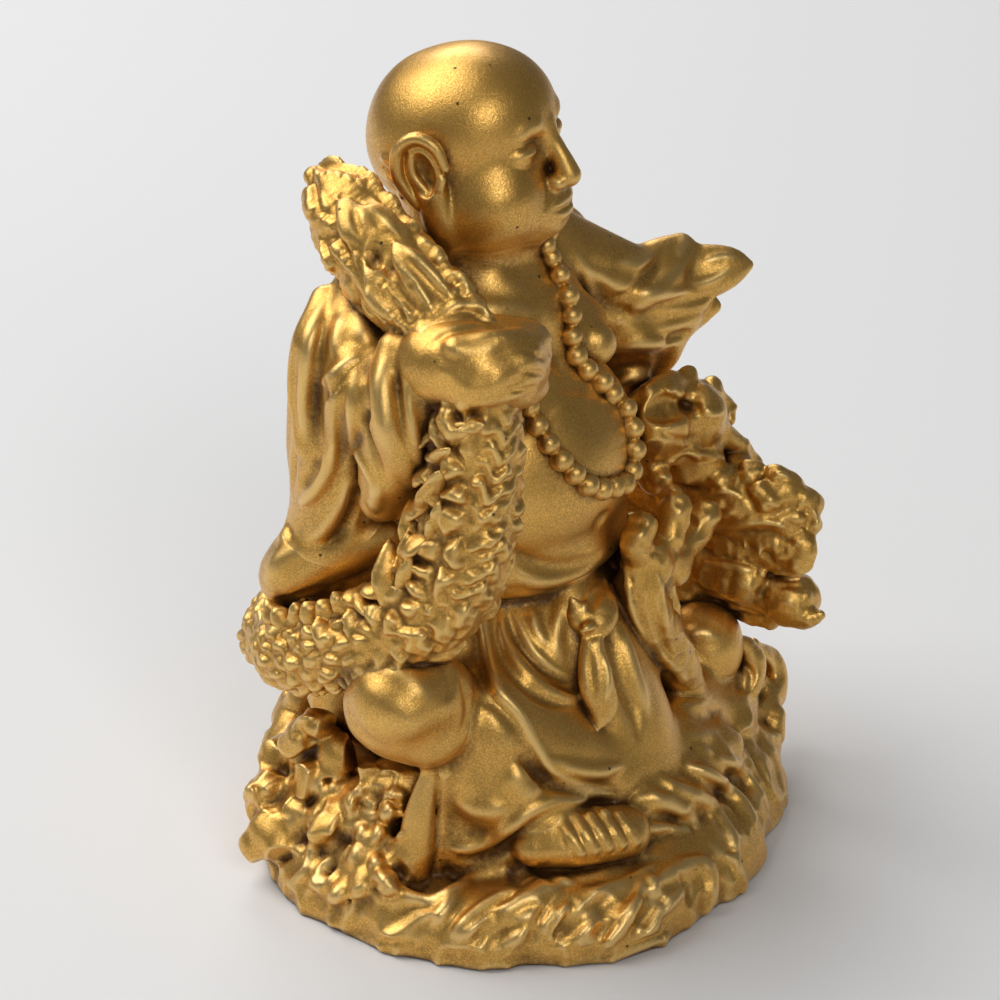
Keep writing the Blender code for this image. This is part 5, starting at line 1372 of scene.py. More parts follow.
def make_dragon_mane():
    c = Clay((4.5, -13.0, 21.0), (20.5, 0.5, 37.5), H_FINE)
    c.gain = 1.2
    # an ear-like cup, two knobs over it, curls below
    c.ball((11.4, -5.0, 31.2), (4.0, 2.5, 3.1), (0, 12, 30), k=0.8)
    c.ball((14.4, -6.0, 30.6), (2.4, 2.4, 2.6), k=0.8)
    c.limb([at_y((11, 7.92), 5.1), at_y((12.09, 8.5), 5.1), at_y((13.49, 8.72), 5.0), at_y((14.95, 7.92), 5.0)], [0.75, 0.8, 0.85, 0.8], 0.4)
    c.ball(at_y((13.63, 8.94), 4.8), (0.95, 0.95, 0.95), k=0.35)
    c.ball(at_y((15.54, 8.36), 4.3), (0.95, 0.95, 0.95), k=0.35)
    c.limb([at_y((15.54, 7.92), 4.7), at_y((16.57, 6.96), 5.1), at_y((16.86, 5.86), 5.7)], [0.85, 0.8, 0.6], 0.4)
    c.limb([at_y((11, 5.86), 5.2), at_y((12.61, 4.98), 5.8), at_y((14.66, 5.42), 6.2), at_y((16.27, 6.3), 5.8)], [0.9, 0.95, 0.9, 0.7], 0.45)
    c.limb([at_y((11, 4.4), 5.1), at_y((12.31, 3.52), 5.8), at_y((13.93, 3.67), 6.5), at_y((15.83, 4.54), 6.6)], [0.9, 1.0, 0.95, 0.7], 0.45)
    c.limb([at_y((15.83, 5.13), 6.2), at_y((17.3, 3.96), 6.8), at_y((18.47, 2.93), 7.2)], [1.2, 1.0, 0.8], 0.5)
    c.ball(at_y((13.93, 2.79), 5.7), (2.6, 1.8, 1.7), (0, 0, -50), k=0.9)
    c.limb([at_y((11.87, 2.79), 5.8), at_y((12.02, 1.61), 6.6), at_y((12.9, 0.59), 7.2)], [0.7, 0.75, 0.6], 0.4)
    c.limb([at_y((12.31, 2.93), 6.5), at_y((14.07, 3.3), 7.2), at_y((15.98, 3.08), 7.5)], [0.5, 0.5, 0.45], 0.25)
    c.ball(at_y((13.93, 2.05), 7.8), (1.5, 1.0, 1.0), (0, 0, -50), k=0.4, cut=True)
    c.limb([at_y((10.26, 7.33), 4.2), at_y((10.26, 4.4), 4.5), at_y((11.14, 1.47), 5.1)], [1.0, 1.2, 1.1], 0.6)
    cup = [(c.near(uv, -0.1), size) for uv, size in (((11.73, 6.52), 0.9), ((12.46, 6.74), 1.1), ((13.27, 6.96), 1.1), ((14.07, 7.18), 0.85))]
    for p, size in cup:
        if p is not None:
            c.ball(p, (1.2 * size, 1.35 * size, 1.0 * size), (0, -12, -50), k=0.4, cut=True)
    c.strokes([
        ([(11.36, 8.21), (12.61, 7.92), (14.22, 7.33), (15.39, 6.89)], 0.28, 0.3),
        ([(14.66, 6.96), (15.54, 6.3), (16.42, 6.45)], 0.3, 0.3),
        ([(11.36, 5.28), (13.19, 4.4), (14.95, 4.69)], 0.25, -0.35),
        ([(10.85, 3.3), (11.29, 1.83), (12.02, 0.59)], 0.25, 0.3),
    ])
    c.rough(1.9, 0.22, 60, ridged=True)
    c.rough(0.9, 0.1, 43)
    return c


def make_dragon_foreleg():
    c = Clay((-2.0, -16.0, 7.0), (15.0, -4.0, 31.0), H_FINE)
    d = 11.6
    # shank from beside the left knee up to the paw, three toes spread upwards
    c.limb([at_y((14.07, -14.22), 9.9), at_y((12.9, -12.02), 9.8), at_y((11.29, -9.38), 9.7), at_y((10.26, -6.74), 9.5), at_y((10.85, -4.4), 9.4)],
           [1.2, 1.8, 2.15, 1.95, 1.95], 0.6)
    c.limb([at_y((10.26, -4.84), 9.4), at_y((9.97, -3.3), 9.6), at_y((10.41, -1.91), 9.5)], [1.35, 1.25, 1.15], 0.5)
    c.limb([at_y((11.43, -4.4), 9.4), at_y((12.31, -2.79), 9.6), at_y((12.9, -0.59), 9.5)], [1.4, 1.3, 1.2], 0.5)
    c.limb([at_y((12.02, -4.54), 9.5), at_y((13.93, -2.79), 9.4), at_y((15.1, -1.03), 9.6)], [1.4, 1.25, 1.2], 0.5)
    c.ball(at_y((12.02, -4.84), 9.4), (2.1, 1.7, 1.9), (0, 0, -50), k=0.6)
    c.ball((6.6, -6.2, 22.6), (2.2, 1.9, 2.8), k=0.8)
    # leaf-shaped tuft on the shank
    leaf(c, at_y((11.36, -4.76), 9.6), at_y((12.02, -10.26), 9.5), MAIN.back, 1.0, 0.45, 0.25, belly=1.2)
    leaf(c, at_y((12.31, -5.28), 9.4), at_y((12.61, -11.36), 9.6), MAIN.back, 0.75, 0.5, 0.25, belly=1.2)
    c.strokes([
        ([(10.85, -5.13), (11.14, -7.33), (11.87, -10.26), (12.9, -12.31)], 0.28, -0.5),
        ([(11.51, -4.84), (12.02, -7.33), (12.31, -10.26)], 0.25, 0.4),
        ([(12.75, -5.28), (12.9, -8.06), (12.75, -10.63)], 0.25, -0.4),
        ([(9.09, -4.4), (9.38, -6.6), (9.97, -8.8), (11.14, -11)], 0.3, 0.42),
        ([(9.68, -5.86), (10.12, -8.06), (10.85, -9.97)], 0.25, -0.35),
        ([(11.73, -10.85), (12.75, -12.31), (13.93, -13.93)], 0.4, 0.42),
        ([(9.38, -7.33), (10.26, -7.33), (11, -7.77)], 0.2, -0.2),
        ([(10.56, -3.3), (11, -3.81), (11.73, -3.81)], 0.25, -0.35),
        ([(12.61, -3.3), (13.19, -3.81), (13.93, -3.52)], 0.25, -0.3),
    ])
    for uv in ((10.34, -1.61), (13.12, -0.15), (15.25, -0.59)):
        c.dab(uv, 0.3, -0.32)
        c.dab((uv[0] + 0.15, uv[1] - 0.88), 0.5, 0.2)
    c.rough(1.5, 0.16, 63, ridged=True)
    c.rough(0.9, 0.08, 45)
    return c


# ------------------------------------------------------------------ the base
OUTLINE = np.array([(-15.6, 11.8), (-19.4, 5.8), (-21.0, -0.5), (-20.4, -6.4), (-17.8, -11.8), (-14.2, -16.3), (-9.8, -19.6), (-4.2, -20.6),
                    (2.2, -19.9), (9.0, -18.0), (14.8, -15.0), (19.2, -10.8), (21.2, -4.8), (21.0, 1.8), (18.6, 8.2), (13.6, 13.0), (6.4, 16.0),
                    (-2.0, 16.6), (-9.8, 15.4)])


def make_base_rock():
    c = Clay((-23.5, -23.0, -0.8), (23.6, 19.0, 11.5))
    c.gain = 2.1
    # a mound: distance to the outline, drawn in towards the top
    sl, X, Y, Z = c.region(c.o * c.h, (c.o + c.n) * c.h)
    cx, cy = 0.0, -1.5
    ang = np.arctan2(Y - cy, X - cx)[:, :, 0]
    rr = np.sqrt((X - cx) ** 2 + (Y - cy) ** 2)[:, :, 0]
    oa = np.arctan2(OUTLINE[:, 1] - cy, OUTLINE[:, 0] - cx)
    orad = np.hypot(OUTLINE[:, 0] - cx, OUTLINE[:, 1] - cy)
    order = np.argsort(oa)
    oa, orad = oa[order], orad[order]
    oa = np.concatenate([oa - 2 * math.pi, oa, oa + 2 * math.pi])
    orad = np.tile(orad, 3)
    edge = np.interp(ang, oa, orad)
    wave = 0.25 * np.sin(ang * 9 + 1.0) + 0.16 * np.sin(ang * 17 + 2.0)
    edge = (edge + wave)[:, :, None]
    z = Z
    shrink = np.interp(z[0, 0], [0, 0.5, 2.2, 3.9, 5.3, 6.2, 7.0, 7.4, 12], [0.2, 0.0, 0.1, 0.9, 2.7, 5.0, 10.0, 20.0, 20.0])[None, None, :]
    D = rr[:, :, None] - (edge - shrink)
    dip = np.exp(-(((X + 16.0) / 6.5) ** 2 + ((Y + 7.5) / 6.5) ** 2))
    top = z - (7.3 - 1.6 * smooth(-Y, 8.0, 17.0) - 3.4 * dip)
    D = -soft_min(-D * 0.85, -top, 1.6)
    c.F = np.minimum(c.F, D.astype(np.float32))
    # heaped cloth and rock on the front and right
    c.limb([(-3.0, -13.4, 6.6), (3.0, -13.8, 6.4), (9.0, -12.4, 6.6)], [2.4, 2.6, 2.4], 1.6)
    c.limb([(8.0, -9.6, 7.2), (13.0, -8.2, 7.0), (17.0, -5.0, 6.6)], [2.8, 2.8, 2.4], 1.6)
    c.limb([(14.0, -10.6, 6.0), (17.8, -7.0, 6.4), (19.2, -2.4, 6.0)], [1.9, 1.9, 1.7], 1.4)
    c.limb([(-16.6, -8.0, 2.6), (-12.6, -13.0, 2.8), (-8.6, -16.2, 3.6)], [1.8, 1.8, 1.8], 1.5)
    c.limb([(-16.4, 3.0, 6.2), (-16.6, -0.4, 5.2), (-16.6, -3.4, 4.2)], [2.2, 2.0, 1.5], 1.0)
    c.limb([(-15.2, 1.2, 5.6), (-14.2, -0.2, 8.2), (-13.4, -1.4, 9.6)], [3.2, 2.9, 2.4], 1.0)
    c.limb([(-15.6, -1.8, 4.6), (-14.6, -3.0, 6.2)], [2.8, 2.4], 1.0)
    for m in range(64):
        u = hashed(m, 21.0), hashed(m, 22.0), hashed(m, 23.0)
        p = c.near((-14.0 + 7.4 * u[0], -19.6 - 9.4 * u[1]), 0.2)
        if p is not None:
            size = 0.6 if m % 3 == 0 else 1.0
            c.ball(p, (size * (0.55 + 0.6 * u[2]), size * (0.4 + 0.4 * u[0]), size * (0.5 + 0.6 * u[1])), (40 * u[0], 60 * u[1], 180 * u[2]), k=0.35, cut=m % 3 == 0)
    c.limb([(15.0, 3.0, 6.6), (12.0, 9.0, 6.4), (4.0, 13.0, 6.2), (-6.0, 13.0, 6.2)], [2.4, 2.4, 2.2, 2.2], 1.6)
    # flowing folds of the front, as they run
    c.strokes([
        ([(-6.01, -31.96), (-4.4, -30.42), (-2.79, -28.22), (-0.73, -27.27), (1.47, -26.97)], 0.5, 0.5),
        ([(-4.4, -32.62), (-2.79, -31.15), (-0.88, -29.69), (1.1, -28.81), (3.3, -28.59)], 0.5, 0.45),
        ([(-3.3, -31.89), (-1.47, -30.2), (0.37, -29.17), (2.2, -29.03)], 0.36, -0.5),
        ([(0, -30.42), (1.47, -29.32), (2.93, -28.15), (4.84, -27.85), (6.74, -28.15)], 0.45, 0.42),
        ([(-8.5, -27.85), (-7.33, -28.81), (-5.13, -29.32), (-3.3, -28.29), (-1.47, -27.85)], 0.45, 0.5),
        ([(-9.38, -25.66), (-8.94, -27.27), (-8.21, -28.29)], 0.5, 0.4),
        ([(-7.62, -25.66), (-7.33, -27.27), (-6.16, -28.29), (-4.98, -27.85)], 0.36, -0.5),
        ([(-4.54, -26.97), (-2.93, -27.27), (-1.47, -26.83), (0.37, -26.24), (1.47, -25.66)], 0.36, 0.45),
        ([(1.32, -25.66), (2.93, -27.27), (4.84, -27.85), (7.33, -27.56), (8.94, -26.83), (10.26, -26.24)], 0.42, -0.5),
        ([(0.59, -26.53), (0.88, -27.56), (1.47, -28.44)], 0.35, -0.4),
        ([(7.18, -33.72), (8.21, -32.25), (9.53, -30.42), (10.26, -28.59), (10.26, -27.27)], 0.45, 0.42),
        ([(5.86, -31.52), (7.33, -29.69), (8.5, -28.44), (9.53, -27.27)], 0.45, -0.42),
        ([(8.94, -32.98), (10.26, -31.15), (11.36, -29.32), (11.87, -27.85)], 0.4, -0.45),
        ([(9.97, -32.62), (11.36, -31.15), (12.61, -29.47), (13.93, -28.22)], 0.4, 0.4),
        ([(10.85, -27.12), (11.43, -28.44), (11, -29.69)], 0.4, 0.5),
        ([(10.26, -27.85), (10.7, -29.03), (12.02, -29.32), (12.31, -30.64)], 0.3, -0.5),
        ([(11.36, -28.22), (12.61, -27.27), (14.66, -26.53), (15.54, -27.49), (15.54, -29.32), (14.95, -31.15)], 0.5, 0.55, {"ends": (0.2, 0.25)}),
        ([(14.66, -24.92), (15.98, -26.02), (16.71, -27.85), (16.42, -29.69), (15.76, -30.93)], 0.45, -0.5),
        ([(16.13, -25.66), (17.3, -26.53), (17.74, -28.22), (17.23, -29.69)], 0.4, 0.4),
        ([(10.63, -20.16), (12.61, -20.89), (14.66, -21.84), (16.49, -23.6), (17.45, -25.8), (17.74, -27.85)], 0.5, 0.5, {"ends": (0.15, 0.3)}),
        ([(11, -19.06), (13.19, -19.79), (15.54, -20.96), (17.59, -22.87), (18.47, -25.66)], 0.4, -0.5),
        ([(11.73, -18.91), (13.93, -19.42), (16.27, -20.67), (18.18, -22.43), (19.06, -24.92)], 0.42, 0.48),
        ([(13.93, -18.47), (16.27, -19.64), (18.47, -21.7), (19.64, -23.9)], 0.36, -0.5),
        ([(15.39, -18.32), (17.59, -19.64), (19.2, -21.62), (20.23, -23.09)], 0.42, 0.45),
        ([(17.96, -17.96), (19.2, -19.64), (20.23, -21.26)], 0.36, -0.4),
        ([(9.53, -21.99), (11.36, -21.84), (13.56, -22.87), (15.1, -24.56)], 0.6, 0.42),
        ([(10.26, -23.46), (12.31, -23.31), (13.93, -24.19)], 0.36, -0.5),
        ([(8.21, -22.87), (9.24, -23.46), (10.26, -23.31)], 0.45, 0.5),
        ([(10.26, -24.56), (12.46, -23.9), (14.66, -24.34)], 0.4, 0.35),
        ([(7.33, -25.66), (9.53, -24.78), (11.36, -24.78)], 0.34, 0.35),
        ([(7.04, -24.34), (8.43, -25.07), (9.38, -25.8)], 0.3, 0.3),
        ([(9.24, -17.96), (9.68, -19.79), (9.38, -21.62), (8.5, -22.87)], 0.4, -0.5),
        ([(10.26, -13.93), (10.85, -16.13), (10.26, -17.96)], 0.45, 0.45),
        ([(11.36, -14.66), (13.19, -15.54), (14.66, -17.23)], 0.5, -0.5),
        ([(11.73, -16.13), (13.93, -17.96), (16.13, -18.47)], 0.45, 0.45),
        ([(-8.8, -19.79), (-9.38, -21.99), (-10.85, -23.82), (-11.58, -25.66)], 0.45, -0.5),
        ([(-7.7, -21.99), (-8.8, -24.19), (-9.38, -25.66)], 0.4, 0.45),
        ([(-12.46, -21.26), (-13.05, -24.19), (-14.66, -27.12), (-15.76, -28.59)], 0.5, 0.45),
        ([(-11.36, -21.99), (-11.87, -24.92), (-13.34, -27.85), (-14.51, -29.69)], 0.4, -0.45),
        ([(-10.26, -24.92), (-11, -27.49), (-11.36, -29.69)], 0.5, 0.35),
        ([(-14.81, -28.59), (-13.19, -29.69), (-11.36, -30.2)], 0.5, -0.3),
        ([(-12.46, -26.83), (-13.34, -27.85), (-14.66, -28.22)], 0.5, 0.45),
        ([(-9.38, -29.69), (-7.48, -30.2), (-5.86, -29.69)], 0.5, -0.2),
        ([(2.93, -29.69), (1.47, -31.52), (0.37, -32.98)], 0.6, 0.3),
        ([(0.44, -29.69), (-1.03, -31.23), (-2.2, -32.98)], 0.5, -0.35),
        ([(4.1, -29.03), (2.79, -30.93), (2.05, -33.35)], 0.35, -0.3),
        ([(7.33, -29.32), (6.6, -31.15), (5.86, -33.35)], 0.6, 0.3),
        ([(12.02, -29.69), (12.31, -31.15), (11.73, -32.62)], 0.45, -0.35),
        ([(13.19, -27.12), (13.93, -28.59), (13.78, -30.2)], 0.35, -0.4),
        ([(18.47, -21.99), (19.5, -23.9), (19.64, -25.66)], 0.35, -0.45),
        ([(7.33, -28.22), (10.26, -26.53), (12.31, -26.24)], 0.3, -0.4),
    ])
    # the scored mark on the front
    c.strokes([
        ([(5.72, -29.39), (4.84, -30.93), (3.81, -32.98)], 0.2, -0.45, {"ends": (0.1, 0.1), "sharp": True}),
        ([(4.98, -29.39), (4.4, -30.79), (3.67, -32.55)], 0.2, 0.28, {"ends": (0.1, 0.1)}),
        ([(4.98, -29.39), (5.72, -29.39)], 0.16, -0.25, {"ends": (0.1, 0.1)}),
        # the flash line near the bottom edge
        ([(-17.01, -26.97), (-15.39, -29.69), (-12.46, -31.52), (-8.06, -32.4), (-2.93, -33.35)], 0.3, -0.2),
        ([(-2.93, -33.35), (2.2, -33.86), (7.33, -33.86), (10.26, -32.84), (13.93, -31.15)], 0.28, -0.2),
        ([(7.33, -34.01), (9.53, -33.13), (11.73, -32.25), (13.49, -31.37)], 0.25, 0.3),
    ])
    # rock facets and swirls round the back
    for view, sign in ((BACK, 1), (LEFT, 1), (RIGHT, 1)):
        for i in range(7):
            x = -16 + 5.2 * i
            c.stroke([(x, 1.2 + 0.6 * hashed(i, 11)), (x + 1.2, 3.2), (x + 2.8, 4.6), (x + 4.6, 5.6)], 0.6, 0.5 if i % 2 else -0.42, view, (0.25, 0.3))
            c.stroke([(x + 2.4, 1.0), (x + 3.0, 2.8), (x + 4.6, 4.0)], 0.4, -0.4, view)
    c.rough(2.4, 0.34, 58, ridged=True)
    c.rough(1.3, 0.12, 51)
    c.rough(3.4, 0.22, 52)
    c.floor(0.0)
    return c


def make_cloud_right():
    c = Clay((-23.0, -1.5, -0.4), (-9.0, 15.0, 16.5), H_FINE)
    c.gain = 1.7
    c.limb([(-13.4, 8.5, 7.0), (-14.0, 7.4, 9.4), (-13.8, 5.8, 11.0)], [2.0, 1.6, 1.3], 0.7)

    def lump(uv, x, r, k=0.45):
        c.ball(at_x(uv, x), r, k=k)

    lump((-14.51, -17.23), -15.6, (1.7, 1.5, 1.5))
    lump((-13.34, -16.27), -15.2, (1.5, 1.3, 1.3))
    lump((-15.25, -17.96), -16.2, (1.1, 1.1, 1.2))
    lump((-17.01, -21.11), -17.0, (1.45, 1.3, 1.4))
    lump((-18.18, -21.26), -18.0, (0.75, 0.75, 0.75))
    lump((-16.49, -24.34), -18.0, (2.1, 1.9, 1.9))
    lump((-18.03, -25.36), -19.0, (1.2, 1.2, 1.3))
    lump((-14.66, -23.09), -17.0, (1.7, 1.6, 1.6))
    lump((-13.78, -20.52), -16.0, (1.7, 1.5, 2.0))
    lump((-12.09, -19.06), -14.6, (1.7, 1.6, 2.4))
    c.limb([at_x((-12.46, -17.74), -14.4), at_x((-14.07, -19.64), -15.6), at_x((-14.51, -21.99), -16.4)], [1.0, 0.9, 0.8], 0.3)
    c.limb([(-17.0, 7.0, 4.0), (-15.0, 7.0, 5.6), (-13.2, 6.2, 7.4)], [2.5, 2.4, 2.0], 0.8)
    c.ball((-14.0, 10.4, 7.6), (2.0, 1.8, 2.0), k=0.8)
    c.ball((-15.6, 9.6, 5.0), (2.6, 2.6, 2.6), k=0.8)
    c.strokes([
        ([(-15.54, -19.94), (-16.71, -20.08), (-17.74, -20.82), (-17.45, -21.99), (-16.42, -21.99), (-16.13, -21.11)], 0.3, -0.3),
        ([(-18.03, -23.6), (-16.71, -22.72), (-15.25, -23.31), (-14.95, -24.63), (-15.83, -25.66)], 0.35, -0.26),
        ([(-13.34, -15.83), (-14.51, -15.98), (-15.39, -17.15)], 0.35, 0.25),
        ([(-12.75, -17.59), (-13.78, -17.74), (-14.22, -18.47)], 0.3, -0.3),
        ([(-13.05, -19.42), (-13.93, -21.26), (-13.34, -23.09)], 0.35, -0.3),
    ])
    c.strokes([
        ([(13.0, 9.6), (14.6, 10.8), (16.2, 9.6), (15.4, 8.2), (14.2, 8.8)], 0.35, -0.35),
        ([(13.4, 5.2), (15.4, 6.8), (17.4, 5.6), (16.6, 4.0), (15.2, 4.6)], 0.35, -0.35),
    ], BACK)
    c.rough(1.8, 0.3, 59, ridged=True)
    c.rough(1.2, 0.1, 53)
    c.floor(0.4)
    return c


def make_cloud_left():
    c = Clay((8.5, -15.0, 0.5), (24.0, -0.5, 15.5), H_FINE)
    c.gain = 1.6

    def chain(pts, rad, k=0.35):
        c.limb([at_y(uv, d) for uv, d in pts], rad, k)

    chain([((16.57, -14.66), 9.0), ((17.74, -13.93), 9.6), ((18.47, -12.31), 9.6), ((18.18, -11), 9.2), ((17.45, -10.41), 8.8)], [1.4, 1.3, 1.1, 0.95, 0.7])
    chain([((17.45, -16.13), 9.0), ((19.2, -15.1), 9.0), ((20.08, -13.49), 8.4), ((19.79, -11.73), 7.8), ((18.47, -10.7), 7.8)], [1.5, 1.4, 1.15, 0.95, 0.6])
    chain([((14.66, -15.54), 9.6), ((16.27, -15.83), 9.8), ((17.3, -15.1), 10.2)], [1.4, 1.4, 1.1])
    chain([((17.74, -17.74), 10.6), ((19.35, -17.59), 10.6), ((20.08, -15.98), 10.4)], [1.6, 1.4, 1.0])
    c.ball(at_y((18.47, -13.78), 8.0), (1.5, 1.4, 1.6), k=0.6)
    c.ball(at_y((16.57, -12.61), 7.6), (1.3, 1.3, 1.6), k=0.6)
    c.limb([(12.0, -9.0, 6.6), (15.5, -7.5, 6.6), (18.4, -5.0, 6.0)], [1.9, 2.2, 2.2], 0.8)
    c.ball((19.0, -6.2, 4.6), (2.0, 2.4, 2.4), k=0.8)
    c.ball(at_y((15.1, -17.23), 9.6), (1.1, 0.9, 0.8), (0, 0, -50), k=0.3, cut=True)
    c.strokes([
        ([(17.74, -11.73), (18.47, -12.9), (18.18, -14.22)], 0.25, -0.35),
        ([(19.35, -12.31), (19.5, -13.93), (18.47, -15.39)], 0.25, -0.35),
        ([(19.06, -11), (19.94, -12.02), (20.38, -13.49)], 0.25, 0.25),
        ([(16.27, -14.66), (17.59, -14.66), (18.47, -13.93)], 0.25, 0.25),
        ([(19.94, -16.86), (20.67, -17.96), (20.82, -19.64)], 0.3, 0.25),
    ])
    c.rough(1.0, 0.1, 55)
    return c


def make_cloud_back():
    c = Clay((-13.5, 9.5, 0.6), (12.5, 20.5, 13.0), H)
    c.gain = 1.4
    c.limb([(-9.0, 14.2, 5.0), (-4.0, 15.8, 6.6), (2.0, 15.6, 7.2), (8.0, 13.8, 5.6)], [2.2, 2.5, 2.5, 2.2], 0.8)
    for x, z, r in ((-6.4, 7.8, 2.0), (4.6, 8.4, 2.0), (-1.0, 8.2, 1.7), (8.2, 6.2, 1.6), (-9.6, 5.6, 1.7)):
        c.ball((x, 15.4 - 0.02 * x * x, z), (r, r * 0.8, r), k=0.35)
        turn = [(-x + r * (0.15 + 0.13 * m) * math.cos(m * 0.9), z + r * (0.15 + 0.13 * m) * math.sin(m * 0.9)) for m in range(6)]
        c.stroke(turn, 0.32, -0.42, BACK, (0.1, 0.1))
    c.rough(1.2, 0.08, 57)
    return c


# ------------------------------------------------------------------ building the pieces in order


CLAYS = {}


def add(name, clay):
    CLAYS[name] = clay
    return clay


TORSO = add("torso", make_torso())
add("head", make_head())
add("right_hand", make_right_hand())
add("left_hand", make_left_hand())
add("left_sleeve", make_left_sleeve())
add("right_sleeve", make_right_sleeve())
add("robe_back", make_robe_back())
add("right_knee", make_right_knee())
add("left_knee", make_left_knee())
add("right_foot", make_right_foot())
SKIRT = add("robe_skirt", make_robe_skirt())
add("waist_sash", make_waist_sash())
add("prayer_beads", make_prayer_beads())
DRAGON = add("dragon_body_front", make_dragon_body_front())
add("dragon_body_rear", make_dragon_body_rear())
add("dragon_fins_front", make_dragon_fins_front())
add("dragon_fins_rear", make_dragon_fins_rear())
add("dragon_tail", make_dragon_tail())
add("dragon_head", make_dragon_head())
add("dragon_lower_jaw", make_dragon_lower_jaw())
add("dragon_horns", make_dragon_horns())
add("dragon_mane", make_dragon_mane())
add("dragon_foreleg", make_dragon_foreleg())
add("base_rock", make_base_rock())
add("cloud_curls_right", make_cloud_right())
add("cloud_curls_left", make_cloud_left())
add("cloud_curls_back", make_cloud_back())

# fillets where one piece runs into the next: (piece, neighbour, size)
FILLETS = [
    ("torso", "head", 1.2), ("head", "torso", 0.8), ("torso", "robe_back", 0.8), ("right_sleeve", "torso", 0.7), ("left_sleeve", "torso", 0.7),
    ("right_sleeve", "right_hand", 0.5), ("right_hand", "right_sleeve", 0.4), ("right_sleeve", "robe_back", 1.2), ("left_sleeve", "robe_back", 1.2),
    ("left_sleeve", "left_hand", 0.7), ("left_hand", "left_sleeve", 0.7), ("robe_skirt", "torso", 0.8), ("robe_skirt", "base_rock", 1.0),
    ("robe_skirt", "right_knee", 0.9), ("right_knee", "robe_skirt", 0.7), ("left_knee", "robe_skirt", 0.7), ("robe_skirt", "left_knee", 0.7),
    ("right_foot", "robe_skirt", 0.5), ("base_rock", "right_foot", 0.5), ("base_rock", "robe_skirt", 1.0), ("base_rock", "left_knee", 0.8),
    ("base_rock", "cloud_curls_left", 0.8), ("base_rock", "cloud_curls_right", 0.8), ("base_rock", "cloud_curls_back", 0.8),
    ("dragon_body_front", "dragon_fins_front", 0.4), ("dragon_body_front", "right_hand", 0.5), ("dragon_body_front", "torso", 0.5),
    ("dragon_body_front", "robe_skirt", 0.7), ("dragon_body_front", "right_knee", 0.5), ("dragon_body_rear", "dragon_fins_rear", 0.5),
    ("dragon_body_rear", "robe_skirt", 0.6), ("dragon_head", "dragon_mane", 0.5), ("dragon_mane", "dragon_head", 0.5), ("dragon_mane", "torso", 0.5),
    ("dragon_horns", "dragon_head", 0.4), ("dragon_head", "dragon_lower_jaw", 0.3), ("dragon_lower_jaw", "dragon_head", 0.4),
    ("dragon_foreleg", "robe_skirt", 0.6), ("dragon_tail", "right_hand", 0.5), ("waist_sash", "robe_skirt", 0.35), ("prayer_beads", "torso", 0.2),
    ("cloud_curls_left", "base_rock", 0.6), ("cloud_curls_right", "base_rock", 0.6), ("cloud_curls_back", "base_rock", 0.6),
]
ORIGINAL = {n: c.F.copy() for n, c in CLAYS.items()}
for name, other, size in FILLETS:
    a, b = CLAYS[name], CLAYS[other]
    keep = b.F
    b.F = ORIGINAL[other]
    a.blend_into(b, size)
    b.F = keep

# ------------------------------------------------------------------ how open or hidden each place is, which sets the painted shade
CELL = 0.3
LOW = np.array([-26.0, -24.0, -2.0])
SIZE = (np.array([52.0, 46.0, 68.0]) / CELL).astype(int)
near = np.full(SIZE, FAR, np.float32)
axes = [LOW[i] + (np.arange(SIZE[i]) + 0.5) * CELL for i in range(3)]
for clay in CLAYS.values():
    lo = clay.o * clay.h
    hi = (clay.o + clay.n - 1) * clay.h
    a = np.maximum(np.ceil((lo - LOW) / CELL).astype(int), 0)
    b = np.minimum(np.floor((hi - LOW) / CELL).astype(int), SIZE)
    idx = [np.clip(np.round(axes[i][a[i]:b[i]] / clay.h).astype(int) - clay.o[i], 0, clay.n[i] - 1) for i in range(3)]
    block = clay.F[np.ix_(*idx)]
    view = near[a[0]:b[0], a[1]:b[1], a[2]:b[2]]
    np.minimum(view, block, out=view)
solid = np.clip(0.5 - near / CELL, 0, 1)
# the ground under the figure counts as solid, so places near it get more painted shade
solid[:, :, :int((0.0 - LOW[2]) / CELL)] = 1.0
FINE_FILL = blurred(solid, 4)
WIDE_FILL = blurred(solid, 22)


def look_up(G, P):
    q = (P - LOW) / CELL - 0.5
    i = np.clip(np.floor(q).astype(int), 0, np.array(G.shape) - 2)
    f = np.clip(q - i, 0, 1).astype(np.float32)
    x, y, z = i.T
    fx, fy, fz = f.T
    a = (G[x, y, z] * (1 - fx) + G[x + 1, y, z] * fx) * (1 - fy) + (G[x, y + 1, z] * (1 - fx) + G[x + 1, y + 1, z] * fx) * fy
    b = (G[x, y, z + 1] * (1 - fx) + G[x + 1, y, z + 1] * fx) * (1 - fy) + (G[x, y + 1, z + 1] * (1 - fx) + G[x + 1, y + 1, z + 1] * fx) * fy
    return a * (1 - fz) + b * fz


# ------------------------------------------------------------------ gold paint


def node(tree, kind, at, **values):
    n = tree.nodes.new(kind)
    n.location = at
    for key, value in values.items():
        setattr(n, key, value)
    return n


def mix_color(tree, factor, a, b, at):
    n = node(tree, "ShaderNodeMix", at, data_type="RGBA")
    tree.links.new(factor, n.inputs[0])
    for socket, value in ((n.inputs[6], a), (n.inputs[7], b)):
        if isinstance(value, tuple):
            socket.default_value = (*value, 1)
        else:
            tree.links.new(value, socket)
    return n.outputs[2]


def ramp(tree, value, low, high, at, out=(0.0, 1.0)):
    n = node(tree, "ShaderNodeMapRange", at)
    tree.links.new(value, n.inputs[0])
    n.inputs[1].default_value, n.inputs[2].default_value = low, high
    n.inputs[3].default_value, n.inputs[4].default_value = out
    return n.outputs[0]


